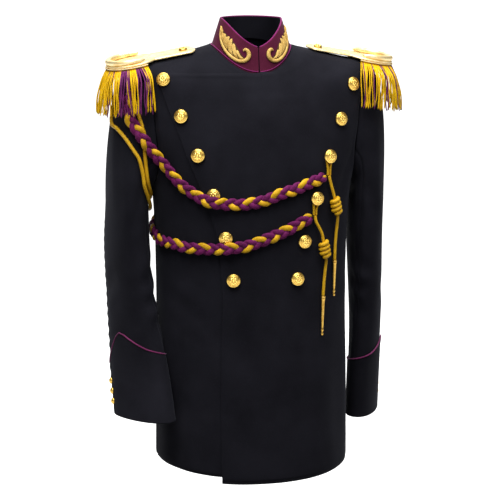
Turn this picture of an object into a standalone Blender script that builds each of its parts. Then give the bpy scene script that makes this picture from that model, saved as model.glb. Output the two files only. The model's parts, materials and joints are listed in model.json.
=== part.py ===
"""Double-breasted dress tunic, worn and hollow, with epaulettes and a plaited shoulder cord.

The front of the coat faces -Y, the wearer's left is +X and +Z is up. The origin is the middle of
the neck seam, where the wearer's neck and shoulders hold the coat up. Lengths are in metres.
Every cloth panel is a grid of points on one smooth body or sleeve form, given a wall inwards.
"""
import math
from collections import namedtuple

import bmesh
import bpy
import numpy as np
from mathutils import Matrix, Vector

# Driving sizes ---------------------------------------------------------------------------------
CLOTH = 0.0022              # wall of the wool cloth with its canvas
SEAM = 0.0003               # gap between pieces that are sewn or laid together
LAP_GAP = 0.0006            # air between the two fronts where they lap
LAP_TOP_AIR = 0.0012        # and more of it along the lap's loose top edge
COLLAR_PLY = 0.0014         # each ply of the stand collar
CUFF_PLY = 0.0014           # turned-back cuff over the sleeve end
CUFF_AIR = 0.0004           # slack between the cuff and the sleeve inside it
LAP_TOP_Z = -0.043          # straight top edge of the lapping front
UNDER_LAP_TOP_Z = -0.053    # and of the hidden part of the front beneath it
PIPING_RADIUS = 0.0013
PIPING_RISE = 0.0022        # piping's middle above the cuff edge that it finishes
BUTTON_RADIUS = 0.0120
BUTTON_HEIGHT = 0.0075
BUTTON_SHANK = 0.0010       # height of a button's back over the cloth
LOOP_SHANK = 0.0052         # and of the two that carry a cord loop
SHANK_RADIUS = 0.0025
SEAT = 0.0005               # air under a shank or a cord, for the slight hollows of the cloth
CUFF_BUTTON_RADIUS = 0.0055
CUFF_BUTTON_HEIGHT = 0.0045
PLAIT_WIDTH = 0.0215
PLAIT_THICKNESS = 0.0100
CORD_RADIUS = 0.0032        # plain gold cord
LOOP_RADIUS = 0.0020        # thin loop over a button
TAG_RADIUS = 0.0026         # hanging cord above its metal tag

# Body form: rings from the hem up to the neck seam. The rings above the chest rise at the front
# and back and fall to the shoulders at the sides. squareness 2 is an ellipse, more is boxier.
BodyRing = namedtuple("BodyRing", "half_width front_depth back_depth front_z side_z back_z squareness")
BODY_RINGS = [
    BodyRing(0.1700, 0.140, 0.128, -0.742, -0.730, -0.730, 2.3),    # hem, lower in front
    BodyRing(0.1690, 0.137, 0.124, -0.640, -0.640, -0.640, 2.3),
    BodyRing(0.1680, 0.133, 0.119, -0.550, -0.550, -0.550, 2.3),
    BodyRing(0.1665, 0.127, 0.111, -0.456, -0.456, -0.456, 2.3),    # waist
    BodyRing(0.1670, 0.125, 0.108, -0.370, -0.370, -0.370, 2.3),
    BodyRing(0.1685, 0.126, 0.110, -0.300, -0.300, -0.300, 2.35),
    BodyRing(0.1740, 0.126, 0.112, -0.235, -0.235, -0.235, 2.4),    # underarm
    BodyRing(0.1880, 0.121, 0.111, -0.180, -0.180, -0.180, 2.4),
    BodyRing(0.2000, 0.110, 0.107, -0.120, -0.120, -0.120, 2.4),
    BodyRing(0.2040, 0.101, 0.101, -0.092, -0.068, -0.078, 2.35),
    BodyRing(0.2000, 0.093, 0.092, -0.074, -0.030, -0.044, 2.3),    # shoulder end
    BodyRing(0.1650, 0.088, 0.084, -0.063, -0.0215, -0.026, 2.2),
    BodyRing(0.1270, 0.083, 0.075, -0.054, -0.0130, -0.011, 2.1),
    BodyRing(0.0950, 0.078, 0.067, -0.047, -0.0055, +0.002, 2.1),
    BodyRing(0.0700, 0.073, 0.060, -0.0415, 0.0, +0.011, 2.1),      # neck seam
]
CHEST, NECK = 8, 14

# Armhole edge of the front and back panels, as turns round the body (0 front, 90 side, 180 back).
Armhole = namedtuple("Armhole", "level front_turn back_turn")
ARMHOLE = [
    Armhole(6.0, 90.0, 90.0),
    Armhole(6.15, 79.0, 101.0),
    Armhole(6.5, 69.5, 111.0),
    Armhole(7.0, 64.0, 117.0),
    Armhole(7.6, 61.0, 120.0),
    Armhole(8.4, 60.0, 119.5),
    Armhole(9.1, 64.5, 115.0),
    Armhole(9.6, 74.0, 105.0),
    Armhole(10.0, 90.0, 90.0),
]
PANEL_LEVELS = [0, 1.2, 2.5, 3.6, 4.7, 5.5, 6, 6.15, 6.5, 7, 7.6, 8.4, 9.1, 9.6, 9.9, 10, 11, 12.2, 13.1, 14]

RIGHT_HEM_LEVEL = 0.11      # the under front and the back on its side hang a little shorter

# Front edge of the lap: its distance from the centre front at each height.
LapEdge = namedtuple("LapEdge", "height reach")
LAP_EDGE = [
    LapEdge(-0.745, 0.0765), LapEdge(-0.600, 0.0765), LapEdge(-0.500, 0.0745), LapEdge(-0.420, 0.0725),
    LapEdge(-0.340, 0.0775), LapEdge(-0.290, 0.0875), LapEdge(-0.230, 0.1085), LapEdge(-0.170, 0.1320),
    LapEdge(-0.105, 0.1570), LapEdge(-0.043, 0.1720),
]

# Front buttons, top pair first: distance from the centre front, and the height of each side's
# button (the lapping left front hangs a little lower). Where the form bends most the panel's flat
# facets lie inside it, and each side's button sinks that much.
ButtonPlace = namedtuple("ButtonPlace", "reach left_z right_z left_sink right_sink")
FRONT_BUTTONS = [
    ButtonPlace(0.1610, -0.0640, -0.0520, 0.0007, 0.0014), ButtonPlace(0.1355, -0.1205, -0.1110, 0.0, 0.0),
    ButtonPlace(0.1105, -0.1815, -0.1750, 0.0, 0.0), ButtonPlace(0.0865, -0.2505, -0.2410, 0.0, 0.0),
    ButtonPlace(0.0670, -0.3235, -0.3135, 0.0, 0.0), ButtonPlace(0.0545, -0.3875, -0.3860, 0.0, 0.0),
]
LOOP_BUTTONS = (3, 4)       # those of the wearer's left row that hold the shoulder cord

# Sleeve form, for an arm on the +X side: centre, half widths front to back and across, and how
# far the front edge turns in towards the coat. The wearer's right sleeve is mirrored in X.
SleeveRing = namedtuple("SleeveRing", "z out back broad narrow turn_in")
SLEEVE_RINGS = {
    "left": [
        SleeveRing(-0.270, 0.2075, 0.010, 0.0760, 0.0315, 5.0),
        SleeveRing(-0.345, 0.2100, 0.014, 0.0740, 0.0310, 9.0),
        SleeveRing(-0.420, 0.2125, 0.016, 0.0700, 0.0300, 12.0),
        SleeveRing(-0.500, 0.2150, 0.020, 0.0660, 0.0285, 16.0),
        SleeveRing(-0.585, 0.2145, 0.025, 0.0630, 0.0270, 21.0),
        SleeveRing(-0.667, 0.2135, 0.030, 0.0610, 0.0260, 25.0),
    ],
    "right": [
        SleeveRing(-0.270, 0.2170, 0.010, 0.0770, 0.0320, 6.0),
        SleeveRing(-0.345, 0.2176, 0.012, 0.0740, 0.0315, 12.0),
        SleeveRing(-0.415, 0.2140, 0.004, 0.0700, 0.0310, 17.0),
        SleeveRing(-0.485, 0.2095, -0.012, 0.0660, 0.0305, 25.0),
        SleeveRing(-0.560, 0.2045, -0.038, 0.0630, 0.0305, 35.0),
        SleeveRing(-0.631, 0.2005, -0.068, 0.0605, 0.0305, 42.0),
    ],
}
HEAD_STEPS = [0.0, 0.10, 0.26, 0.48, 0.74]
RING_STEPS = [1.0, 2.0, 3.0, 4.0, 4.7, 5.3, 6.0]
SLEEVE_SEAM = 0.0014        # a little wider, for the tight turn at the front edge
FORE_SEAM_LEVEL = 7.0       # rows of the armhole where the two sleeve pieces meet
HIND_SEAM_LEVEL = 9.1

# Upper edge of the pointed cuff: its height above the sleeve end at each angle round the sleeve,
# where 0 is the outer side, 90 the front edge, 180 the inner side and -56 the hind seam.
CuffEdge = namedtuple("CuffEdge", "turn height")
CUFF_EDGE = [
    CuffEdge(-57, 0.080), CuffEdge(-37, 0.099), CuffEdge(-18, 0.121), CuffEdge(0, 0.143),
    CuffEdge(18, 0.134), CuffEdge(37, 0.126), CuffEdge(57, 0.119), CuffEdge(101, 0.110),
    CuffEdge(180, 0.096), CuffEdge(303, 0.080),
]
CUFF_BUTTON_TURN = -50.0
CUFF_BUTTON_HEIGHTS = [0.022, 0.038, 0.054]

# Stand collar: the top ring of the same form as the neck ring it stands on.
COLLAR_TOP = BodyRing(0.0570, 0.066, 0.056, 0.0055, 0.049, 0.056, 2.0)
COLLAR_GAP_TURN = 0.6       # half the opening between the collar's front ends, in degrees
COLLAR_OUT = 0.0004         # the collar stands this far proud of the neck seam
COLLAR_SEAT = 0.0008        # and this far above it
COLLAR_CELLS = 28
COLLAR_PIPING_TURN = 2.5    # turn at which the bead on the collar's top edge starts and ends
COLLAR_PIPING_RISE = 0.0020

# Bullion leaf on the collar: its stem from the hook by the front end to the tip, as lengths along
# the collar and up from its seam, with the leaf's width below and above the stem.
LeafStem = namedtuple("LeafStem", "along height lower upper")
LEAF_STEM = [
    LeafStem(0.0300, 0.0290, 0.0010, 0.0010), LeafStem(0.0265, 0.0325, 0.0020, 0.0018),
    LeafStem(0.0215, 0.0300, 0.0026, 0.0022), LeafStem(0.0210, 0.0225, 0.0030, 0.0030),
    LeafStem(0.0270, 0.0145, 0.0034, 0.0050), LeafStem(0.0370, 0.0100, 0.0038, 0.0100),
    LeafStem(0.0490, 0.0090, 0.0040, 0.0160), LeafStem(0.0610, 0.0115, 0.0040, 0.0180),
    LeafStem(0.0720, 0.0175, 0.0036, 0.0150), LeafStem(0.0800, 0.0260, 0.0028, 0.0090),
    LeafStem(0.0850, 0.0360, 0.0012, 0.0020),
]
LEAF_RISE = 0.0024
LEAF_EDGE = 0.0010

# Epaulette: a stiff board along the shoulder with a round end plate, seen on the +X side.
BOARD_START_X = 0.098
BOARD_START_Z = {"left": -0.0043, "right": -0.0060}      # the lapping front lifts the left one
BOARD_SLOPE = 10.5          # degrees down towards the arm
BOARD_TILT = 5.0            # degrees down towards the front
BOARD_THICKNESS = 0.0030
STRAP_HALF_WIDTH = 0.027
PLATE_CENTRE = 0.110        # along the board from its neck end
PLATE_RADIUS = 0.0450
CRESCENT_RADIUS = 0.0050
BOARD_Y = -0.002
STRAP_END = 0.012           # length of the rounded neck end
STRIP_WIDTH = 0.0035        # backing strip of the fringe
STRIP_HEIGHT = 0.0055
FRINGE_FLARE = 0.018        # how far the strand ends swing out at the arm, and at front and back
FRINGE_SIDE_FLARE = 0.038
BOSS_RADIUS = 0.0050
BOSS_HEIGHT = 0.0050
BOSS_PLACE = 0.020
FRINGE_LENGTH = 0.076
FRINGE_SPAN = 117.0         # degrees to each side of the outward direction
FRINGE_CELLS = 40


# Shared tools ----------------------------------------------------------------------------------
def smooth_row(rows, place):
    """Values of a table at a fractional row, on a smooth curve through the rows."""
    values = np.array(rows, dtype=float)
    first = min(max(int(math.floor(place)), 0), len(rows) - 2)
    part = place - first
    before = values[first - 1] if first > 0 else 2 * values[0] - values[1]
    after = values[first + 2] if first + 2 < len(rows) else 2 * values[-1] - values[-2]
    start, end = values[first], values[first + 1]
    slope_in = (end - before) / 2
    slope_out = (after - start) / 2
    return ((2 * part ** 3 - 3 * part ** 2 + 1) * start + (part ** 3 - 2 * part ** 2 + part) * slope_in
            + (3 * part ** 2 - 2 * part ** 3) * end + (part ** 3 - part ** 2) * slope_out)


def table_value(rows, at, key, value):
    """One column of a table against another, in straight stretches."""
    return float(np.interp(at, [getattr(r, key) for r in rows], [getattr(r, value) for r in rows]))


def signed_power(base, power):
    return math.copysign(abs(base) ** power, base)


def ring_point(ring, turn):
    """Point of a body or collar ring; ring holds the BodyRing values, turn is in degrees."""
    half_width, front, back, front_z, side_z, back_z, squareness = ring
    across = math.sin(math.radians(turn))
    ahead = math.cos(math.radians(turn))
    depth, end_z = (front, front_z) if ahead > 0 else (back, back_z)
    return Vector((half_width * signed_power(across, 2 / squareness),
                   -depth * signed_power(ahead, 2 / squareness),
                   end_z + (side_z - end_z) * across ** 2))


def body_point(turn, level, out=0.0):
    """Point of the coat's outer face, moved out by the given distance."""
    here = ring_point(smooth_row(BODY_RINGS, level), turn)
    if out == 0.0:
        return here
    step = 0.02
    low, high = max(level - step, 0.0), min(level + step, NECK)
    round_it = ring_point(smooth_row(BODY_RINGS, level), turn + 1) - ring_point(
        smooth_row(BODY_RINGS, level), turn - 1)
    up_it = ring_point(smooth_row(BODY_RINGS, high), turn) - ring_point(smooth_row(BODY_RINGS, low), turn)
    return here + round_it.cross(up_it).normalized() * out


def level_at(height, turn):
    """Level at which the body form reaches a height on the given turn."""
    low, high = 0.0, float(NECK)
    for _ in range(40):
        middle = (low + high) / 2
        if body_point(turn, middle).z < height:
            low = middle
        else:
            high = middle
    return (low + high) / 2


def front_turn(reach, level):
    """Turn at which the front of the body form lies at a distance from the centre front."""
    half_width = smooth_row(BODY_RINGS, level)[0]
    squareness = smooth_row(BODY_RINGS, level)[6]
    return math.degrees(math.asin(min(reach / half_width, 1.0) ** (squareness / 2)))


def front_place(reach, height):
    """Turn and level of a point on the front, given its distance from the centre and height."""
    turn = 45.0
    for _ in range(30):
        level = level_at(height, turn)
        turn = front_turn(abs(reach), level)
    return math.copysign(turn, reach), level


def make_object(name, mesh, material, smooth=True):
    made = bpy.data.objects.new(name, mesh)
    coat.objects.link(made)
    made.data.materials.append(material)
    if smooth:
        mesh.shade_smooth()
        mesh.set_sharp_from_angle(angle=math.radians(40))
    return made


def wall(name, outer, inner, material, closed=False):
    """Closed solid between two grids of points, outer and inner, row by row; closed joins the
    last column to the first."""
    shape = bmesh.new()
    sheets = [[[shape.verts.new(p) for p in row] for row in grid] for grid in (outer, inner)]
    rows, columns = len(outer), len(outer[0])
    last = columns if closed else columns - 1
    for k, sheet in enumerate(sheets):
        for i in range(rows - 1):
            for j in range(last):
                n = (j + 1) % columns
                corners = [sheet[i][j], sheet[i][n], sheet[i + 1][n], sheet[i + 1][j]]
                shape.faces.new(corners if k == 0 else corners[::-1])
    face, back = sheets
    for i, flip in ((0, True), (rows - 1, False)):
        for j in range(last):
            n = (j + 1) % columns
            corners = [face[i][j], face[i][n], back[i][n], back[i][j]]
            shape.faces.new(corners[::-1] if flip else corners)
    if not closed:
        for j, flip in ((0, False), (columns - 1, True)):
            for i in range(rows - 1):
                corners = [face[i][j], face[i + 1][j], back[i + 1][j], back[i][j]]
                shape.faces.new(corners[::-1] if flip else corners)
    bmesh.ops.recalc_face_normals(shape, faces=shape.faces)
    mesh = bpy.data.meshes.new(name)
    shape.to_mesh(mesh)
    shape.free()
    return make_object(name, mesh, material)


def smooth_route(rows, spacing):
    """Rows at an even spacing on a smooth curve through a route's own rows, which start with a
    point and may carry further values."""
    fine = [smooth_row(rows, k / 20) for k in range(20 * (len(rows) - 1) + 1)]
    lengths = [0.0]
    for a, b in zip(fine, fine[1:]):
        lengths.append(lengths[-1] + float(np.linalg.norm((b - a)[:3])))
    count = max(2, round(lengths[-1] / spacing))
    wanted = np.linspace(0.0, lengths[-1], count + 1)
    return list(zip(*[np.interp(wanted, lengths, column) for column in zip(*fine)]))


def tube(name, points, radius, material, closed=False, sides=2):
    """Round tube along a route, as a curve with a bevel and filled caps."""
    curve = bpy.data.curves.new(name, "CURVE")
    curve.dimensions = "3D"
    curve.bevel_depth = radius
    curve.bevel_resolution = sides
    curve.use_fill_caps = True
    spline = curve.splines.new("POLY")
    spline.points.add(len(points) - 1)
    for place, point in zip(spline.points, points):
        place.co = (*point, 1.0)
    spline.use_cyclic_u = closed
    spline.use_smooth = True
    made = bpy.data.objects.new(name, curve)
    coat.objects.link(made)
    made.data.materials.append(material)
    return made


def set_on(place, facing):
    """Frame at a place with its Z along the facing."""
    return Matrix.Translation(place) @ facing.to_track_quat("Z", "Y").to_matrix().to_4x4()


def turned(name, profile, steps, material, frame, ring=False):
    """Round piece from a profile of radius and height, on a Screw; ring closes the profile."""
    mesh = bpy.data.meshes.new(name)
    count = len(profile)
    joins = [(i, (i + 1) % count) for i in range(count if ring else count - 1)]
    mesh.from_pydata([(r, 0.0, h) for r, h in profile], joins, [])
    made = make_object(name, mesh, material, smooth=False)
    screw = made.modifiers.new("turn", "SCREW")
    screw.axis = "Z"
    screw.steps = steps
    screw.render_steps = steps
    screw.use_merge_vertices = True
    screw.merge_threshold = 0.00005
    screw.use_smooth_shade = True
    made.matrix_world = frame
    return made


def button_profile(radius, height, shank=0.0):
    """Dome, rim, back and shank of a button, from its centre top down to its foot."""
    head = [(0.0, height), (radius * 0.45, height * 0.93), (radius * 0.80, height * 0.62),
            (radius, height * 0.25), (radius * 0.90, 0.0)]
    head = [(r, h + shank) for r, h in head]
    return head + ([(SHANK_RADIUS, shank), (SHANK_RADIUS, 0.0), (0.0, 0.0)] if shank else [(0.0, 0.0)])


def finish(name, colour, roughness, metallic=0.0):
    material = bpy.data.materials.new(name)
    material.use_nodes = True
    shader = material.node_tree.nodes["Principled BSDF"]
    shader.inputs["Base Color"].default_value = (*colour, 1.0)
    shader.inputs["Roughness"].default_value = roughness
    shader.inputs["Metallic"].default_value = metallic
    return material


# Start with an empty scene ----------------------------------------------------------------------
for old in list(bpy.data.objects):
    bpy.data.objects.remove(old, do_unlink=True)
coat = bpy.data.collections.new("dress_tunic")
bpy.context.scene.collection.children.link(coat)

WOOL = finish("navy_wool", (0.012, 0.013, 0.025), 0.85)
PLUM = finish("plum_wool", (0.110, 0.012, 0.045), 0.80)
GILT = finish("gilt_metal", (0.90, 0.62, 0.18), 0.28, 1.0)
BULLION = finish("gold_bullion", (0.72, 0.45, 0.12), 0.45, 0.6)
GOLD_CORD = finish("gold_cord", (0.75, 0.46, 0.02), 0.60)
PURPLE_CORD = finish("purple_cord", (0.17, 0.012, 0.12), 0.65)


# Body panels ------------------------------------------------------------------------------------
def side_turn(level, back=False):
    """Turn of the side seam, the armhole edge or the shoulder seam at a level."""
    if level <= ARMHOLE[0].level or level >= ARMHOLE[-1].level:
        return 90.0
    return table_value(ARMHOLE, level, "level", "back_turn" if back else "front_turn")


def seam_shift(ring, turn, distance):
    """Degrees of turn that move a point on a ring by a distance along the ring."""
    step = (ring_point(ring, turn + 0.5) - ring_point(ring, turn - 0.5)).length
    return distance / max(step, 0.0005)


def lap_corner():
    return front_place(LAP_EDGE[-1].reach, LAP_TOP_Z)


def lap_turn(level):
    """Turn of the lap's front edge at a level below its top corner."""
    corner_turn, corner_level = lap_corner_place
    if level >= corner_level:
        return corner_turn
    turn = 45.0
    for _ in range(12):
        turn = front_turn(table_value(LAP_EDGE, body_point(turn, level).z, "height", "reach"), level)
    return turn


def compressed(level, top):
    """Level of a row under the lap's straight top edge, where rows above the chest close up."""
    if level <= CHEST - 1:
        return level
    return CHEST - 1 + (level - CHEST + 1) * (top - CHEST + 1) / (NECK - CHEST + 1)


def eased(value, start, end):
    part = min(max((value - start) / (end - start), 0.0), 1.0)
    return part * part * (3 - 2 * part)


def lift(turn, level, hidden, side):
    """How far the lapping front stands off the body form, from full lap to none at its side."""
    full = CLOTH + LAP_GAP + LAP_TOP_AIR * eased(level, CHEST, CHEST + 1.5)
    at_neck = eased(level, NECK - 1.5, NECK) * eased(turn, 2.0, 16.0)
    return full * (1 - eased(turn, hidden, max(side, hidden + 0.1))) * (1 - at_neck)


def panel_levels(side):
    return ([RIGHT_HEM_LEVEL] if side == "right" else [0]) + PANEL_LEVELS[1:]


def front_panel(name, side, lapping):
    """One front. It is laid out as the lapping left front, and mirrored for the right one."""
    lap_cells, body_cells = 5, 4
    outer, inner = [], []
    for level in panel_levels(side):
        corner_level = lap_corner_place[1]
        row_out, row_in = [], []
        edge_level = compressed(level, corner_level)
        edge = lap_turn(edge_level)
        hidden = lap_turn(level)
        end = side_turn(level)
        ring = smooth_row(BODY_RINGS, level)
        end -= seam_shift(ring, end, SEAM / 2)
        turns = [-edge * (1 - k / lap_cells) for k in range(lap_cells)]
        turns += [hidden * k / lap_cells for k in range(lap_cells)]
        turns += [hidden + (end - hidden) * k / body_cells for k in range(body_cells + 1)]
        for turn in turns:
            at = level
            if turn < 0:
                at = compressed(level, level_at(LAP_TOP_Z if lapping else UNDER_LAP_TOP_Z, turn))
            stand = lift(turn, at, hidden + 2.0, end) if lapping else 0.0
            row_out.append(body_point(turn, at, stand))
            row_in.append(body_point(turn, at, stand - CLOTH))
        outer.append(row_out)
        inner.append(row_in)
    if side == "right":
        for grid in (outer, inner):
            for row in grid:
                for p in row:
                    p.x = -p.x
    return wall(name, outer, inner, WOOL)


def back_panel(name, side):
    cells = 6
    outer, inner = [], []
    for level in panel_levels(side):
        ring = smooth_row(BODY_RINGS, level)
        start = side_turn(level, back=True)
        start += seam_shift(ring, start, SEAM / 2)
        end = 180.0 - seam_shift(ring, 180.0, SEAM / 2)
        turns = [start + (end - start) * k / cells for k in range(cells + 1)]
        outer.append([body_point(t, level) for t in turns])
        inner.append([body_point(t, level, -CLOTH) for t in turns])
    if side == "right":
        for grid in (outer, inner):
            for row in grid:
                for p in row:
                    p.x = -p.x
    return wall(name, outer, inner, WOOL)


lap_corner_place = lap_corner()
front_panel("front_left", "left", lapping=True)
front_panel("front_right", "right", lapping=False)
back_panel("back_left", "left")
back_panel("back_right", "right")


# Sleeves ----------------------------------------------------------------------------------------
def armhole_point(turn, out=0.0):
    """Point of the armhole edge; turn 0 is the shoulder end, 90 front, 180 underarm, 270 back."""
    middle = (ARMHOLE[0].level + ARMHOLE[-1].level) / 2
    reach = (ARMHOLE[-1].level - ARMHOLE[0].level) / 2
    level = middle + reach * math.cos(math.radians(turn))
    back = turn % 360.0 > 180.0
    return body_point(side_turn(level, back), level, out)


def sleeve_ring_point(side, step, turn):
    """Point of the hanging part of a sleeve; step counts the rows of its table."""
    z, out, back, broad, narrow, turn_in = smooth_row(SLEEVE_RINGS[side], step)
    twist = math.radians(turn_in)
    ahead = Vector((-math.sin(twist), -math.cos(twist), 0.0))
    outward = Vector((math.cos(twist), -math.sin(twist), 0.0))
    angle = math.radians(turn)
    across = signed_power(math.cos(angle), 0.92) * narrow
    along = signed_power(math.sin(angle), 0.92) * broad
    return Vector((out, back, z)) + outward * across + ahead * along


def sleeve_point(side, place, turn):
    """Point of the sleeve's outer face, on the +X side. place runs 0 to 1 over the sleeve head
    and then counts the rows of the sleeve table; turn is the angle round the sleeve."""
    if place >= 1.0:
        return sleeve_ring_point(side, place - 1.0, turn)
    start = armhole_point(turn)
    centre = Vector((0.196, 0.0, -0.13))
    start += (centre - start).normalized() * SEAM
    end = sleeve_ring_point(side, 0.0, turn)
    top = (1 + math.cos(math.radians(turn))) / 2
    leave = Vector((0.93, 0.0, -0.35 - 0.5 * (1 - top))) * (0.045 + 0.095 * top)
    arrive = Vector((0.0, 0.0, -1.0)) * (0.035 + 0.24 * top)
    t = place
    return ((2 * t ** 3 - 3 * t ** 2 + 1) * start + (t ** 3 - 2 * t ** 2 + t) * leave
            + (3 * t ** 2 - 2 * t ** 3) * end + (t ** 3 - t ** 2) * arrive)


def sleeve_skin(side, place, turn, out=0.0):
    """sleeve_point moved out along the sleeve's normal, and mirrored for the right sleeve."""
    here = sleeve_point(side, place, turn)
    last = len(SLEEVE_RINGS[side]) + 0.0
    low, high = max(place - 0.03, 0.0), min(place + 0.03, last)
    round_it = sleeve_point(side, place, turn + 3) - sleeve_point(side, place, turn - 3)
    down_it = sleeve_point(side, high, turn) - sleeve_point(side, low, turn)
    here += round_it.cross(down_it).normalized() * out
    if side == "right":
        here.x = -here.x
    return here


def sleeve_place(side, height_above_end):
    """Row place on a sleeve at a height above its lower end."""
    rows = SLEEVE_RINGS[side]
    z = rows[-1].z + height_above_end
    low, high = 1.0, float(len(rows))
    for _ in range(40):
        middle = (low + high) / 2
        if sleeve_ring_point(side, middle - 1.0, 0.0).z > z:
            low = middle
        else:
            high = middle
    return (low + high) / 2


def cuff_edge_height(turn):
    return table_value(CUFF_EDGE, turn, "turn", "height")


def sleeve_turns():
    """Angles of the top and under sleeve's columns, which meet the armhole at the panels' rows."""
    rows = [level for level in PANEL_LEVELS if ARMHOLE[0].level <= level <= ARMHOLE[-1].level]
    middle = (rows[0] + rows[-1]) / 2
    angle = {level: math.degrees(math.acos((level - middle) / (rows[-1] - middle))) for level in rows}
    fore, hind = angle[FORE_SEAM_LEVEL], angle[HIND_SEAM_LEVEL]
    down = [angle[level] for level in reversed(rows)]
    around = [-a for a in reversed(down)] + down[1:]
    top = [a for a in around if -hind - 0.01 <= a <= fore + 0.01]
    under = [a for a in down if a >= fore - 0.01]
    under += [a + 360 for a in around if -180 < a <= -hind + 0.01]
    return top, under


def sleeve_piece(name, side, turns):
    """Top or under sleeve: a strip of the sleeve form between its two seams."""
    outer, inner = [], []
    for place in SLEEVE_PLACES:
        ends = []
        for turn, inwards in ((turns[0], 1), (turns[-1], -1)):
            stretch = (sleeve_point(side, place, turn + 1) - sleeve_point(side, place, turn - 1)).length / 2
            ends.append(turn + inwards * SLEEVE_SEAM / 2 / stretch)
        here = [ends[0]] + turns[1:-1] + [ends[1]]
        outer.append([sleeve_skin(side, place, turn) for turn in here])
        inner.append([sleeve_skin(side, place, turn, -CLOTH) for turn in here])
    return wall(name, outer, inner, WOOL)


def cuff(name, side, turns):
    """Pointed cuff turned up over the sleeve end, on the sleeve's own columns."""
    out, inner = [], []
    for part in (0.0, 0.5, 1.0):
        heights = [0.0005 + part * (cuff_edge_height(t if t <= 303.5 else t - 360) - 0.0005) for t in turns]
        places = [sleeve_place(side, h) for h in heights]
        out.append([sleeve_skin(side, p, t, SEAM + CUFF_PLY + CUFF_AIR) for p, t in zip(places, turns)])
        inner.append([sleeve_skin(side, p, t, SEAM + CUFF_AIR) for p, t in zip(places, turns)])
    return wall(name, out, inner, WOOL, closed=True)


def cuff_piping(name, side, turns):
    """Bead of plum cord along the cuff's pointed upper edge."""
    route = []
    for turn in turns:
        height = cuff_edge_height(turn if turn <= 303.5 else turn - 360) + PIPING_RISE
        route.append(sleeve_skin(side, sleeve_place(side, height), turn, PIPING_RADIUS + SEAM + CUFF_AIR))
    return tube(name, route, PIPING_RADIUS, PLUM, closed=True, sides=1)


SLEEVE_PLACES = HEAD_STEPS + RING_STEPS
top_turns, under_turns = sleeve_turns()
all_turns = top_turns + under_turns[1:-1]
for side in ("left", "right"):
    sleeve_piece("sleeve_top_" + side, side, top_turns)
    sleeve_piece("sleeve_under_" + side, side, under_turns)
    cuff("cuff_" + side, side, all_turns)
    cuff_piping("cuff_piping_" + side, side, all_turns)
    for number, height in enumerate(CUFF_BUTTON_HEIGHTS, start=1):
        place = sleeve_place(side, height)
        seat = sleeve_skin(side, place, CUFF_BUTTON_TURN, CUFF_PLY + CUFF_AIR + 2 * SEAM)
        facing = seat - sleeve_skin(side, place, CUFF_BUTTON_TURN, 0.0)
        turned(f"cuff_button_{side}_{number}", button_profile(CUFF_BUTTON_RADIUS, CUFF_BUTTON_HEIGHT),
               8, GILT, set_on(seat, facing))


# Stand collar -----------------------------------------------------------------------------------
def collar_point(turn, part, out=0.0):
    """Point of the collar's outer face: part 0 is its seam with the coat and 1 its top edge."""
    bottom, top = np.array(BODY_RINGS[NECK]), np.array(COLLAR_TOP)
    ring = bottom + (top - bottom) * part
    here = ring_point(ring, turn)
    here.z += COLLAR_SEAT * (1 - part)
    if out == 0.0:
        return here
    round_it = ring_point(ring, turn + 1) - ring_point(ring, turn - 1)
    up_it = ring_point(top, turn) - ring_point(bottom, turn)
    return here + round_it.cross(up_it).normalized() * out


def collar_ply(name, outside, inside, material):
    """One ply of the collar, all the way round from one front end to the other."""
    whole = 360 - 2 * COLLAR_GAP_TURN
    turns = [COLLAR_GAP_TURN + whole * k / COLLAR_CELLS for k in range(COLLAR_CELLS + 1)]
    outer = [[collar_point(t, part, outside) for t in turns] for part in (0.0, 0.5, 1.0)]
    inner = [[collar_point(t, part, inside) for t in turns] for part in (0.0, 0.5, 1.0)]
    return wall(name, outer, inner, material)


def leaf_point(along, height, out):
    """Point over the collar's outer face, given lengths along it from the centre front and up."""
    turn = COLLAR_GAP_TURN
    step = 3.0
    left = along
    while True:
        stretch = (collar_point(turn + step, 0.5) - collar_point(turn, 0.5)).length
        if stretch >= left:
            turn += step * left / stretch
            break
        left -= stretch
        turn += step
    tall = (collar_point(turn, 1.0) - collar_point(turn, 0.0)).length
    return collar_point(turn, height / tall, out)


def collar_leaf(name, side):
    """Raised bullion leaf: a stem that starts in a hook, with lobes along its upper side."""
    rows, columns = [], (0.0, 0.45, 1.0)
    count = 6 * (len(LEAF_STEM) - 1) // 2
    for k in range(count + 1):
        place = k * (len(LEAF_STEM) - 1) / count
        along, height, lower, upper = smooth_row(LEAF_STEM, place)
        ahead = smooth_row(LEAF_STEM, min(place + 0.1, len(LEAF_STEM) - 1)) - smooth_row(
            LEAF_STEM, max(place - 0.1, 0))
        length = math.hypot(ahead[0], ahead[1])
        across = (ahead[1] / length, -ahead[0] / length)
        lobe = upper * (0.80 + 0.20 * math.cos(2 * math.pi * k / 3))
        widths = [lower - (lower + lobe) * c for c in columns]
        rows.append([(along + across[0] * w, height + across[1] * w) for w in widths])
    rise = dict(zip(columns, (LEAF_EDGE, LEAF_RISE, LEAF_EDGE)))
    back = COLLAR_OUT + SEAM
    outer = [[leaf_point(a, h, back + rise[c]) for (a, h), c in zip(row, columns)] for row in rows]
    inner = [[leaf_point(a, h, back) for a, h in row] for row in rows]
    if side == "right":
        for grid in (outer, inner):
            for row in grid:
                for p in row:
                    p.x = -p.x
    return wall(name, outer, inner, BULLION)


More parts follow.
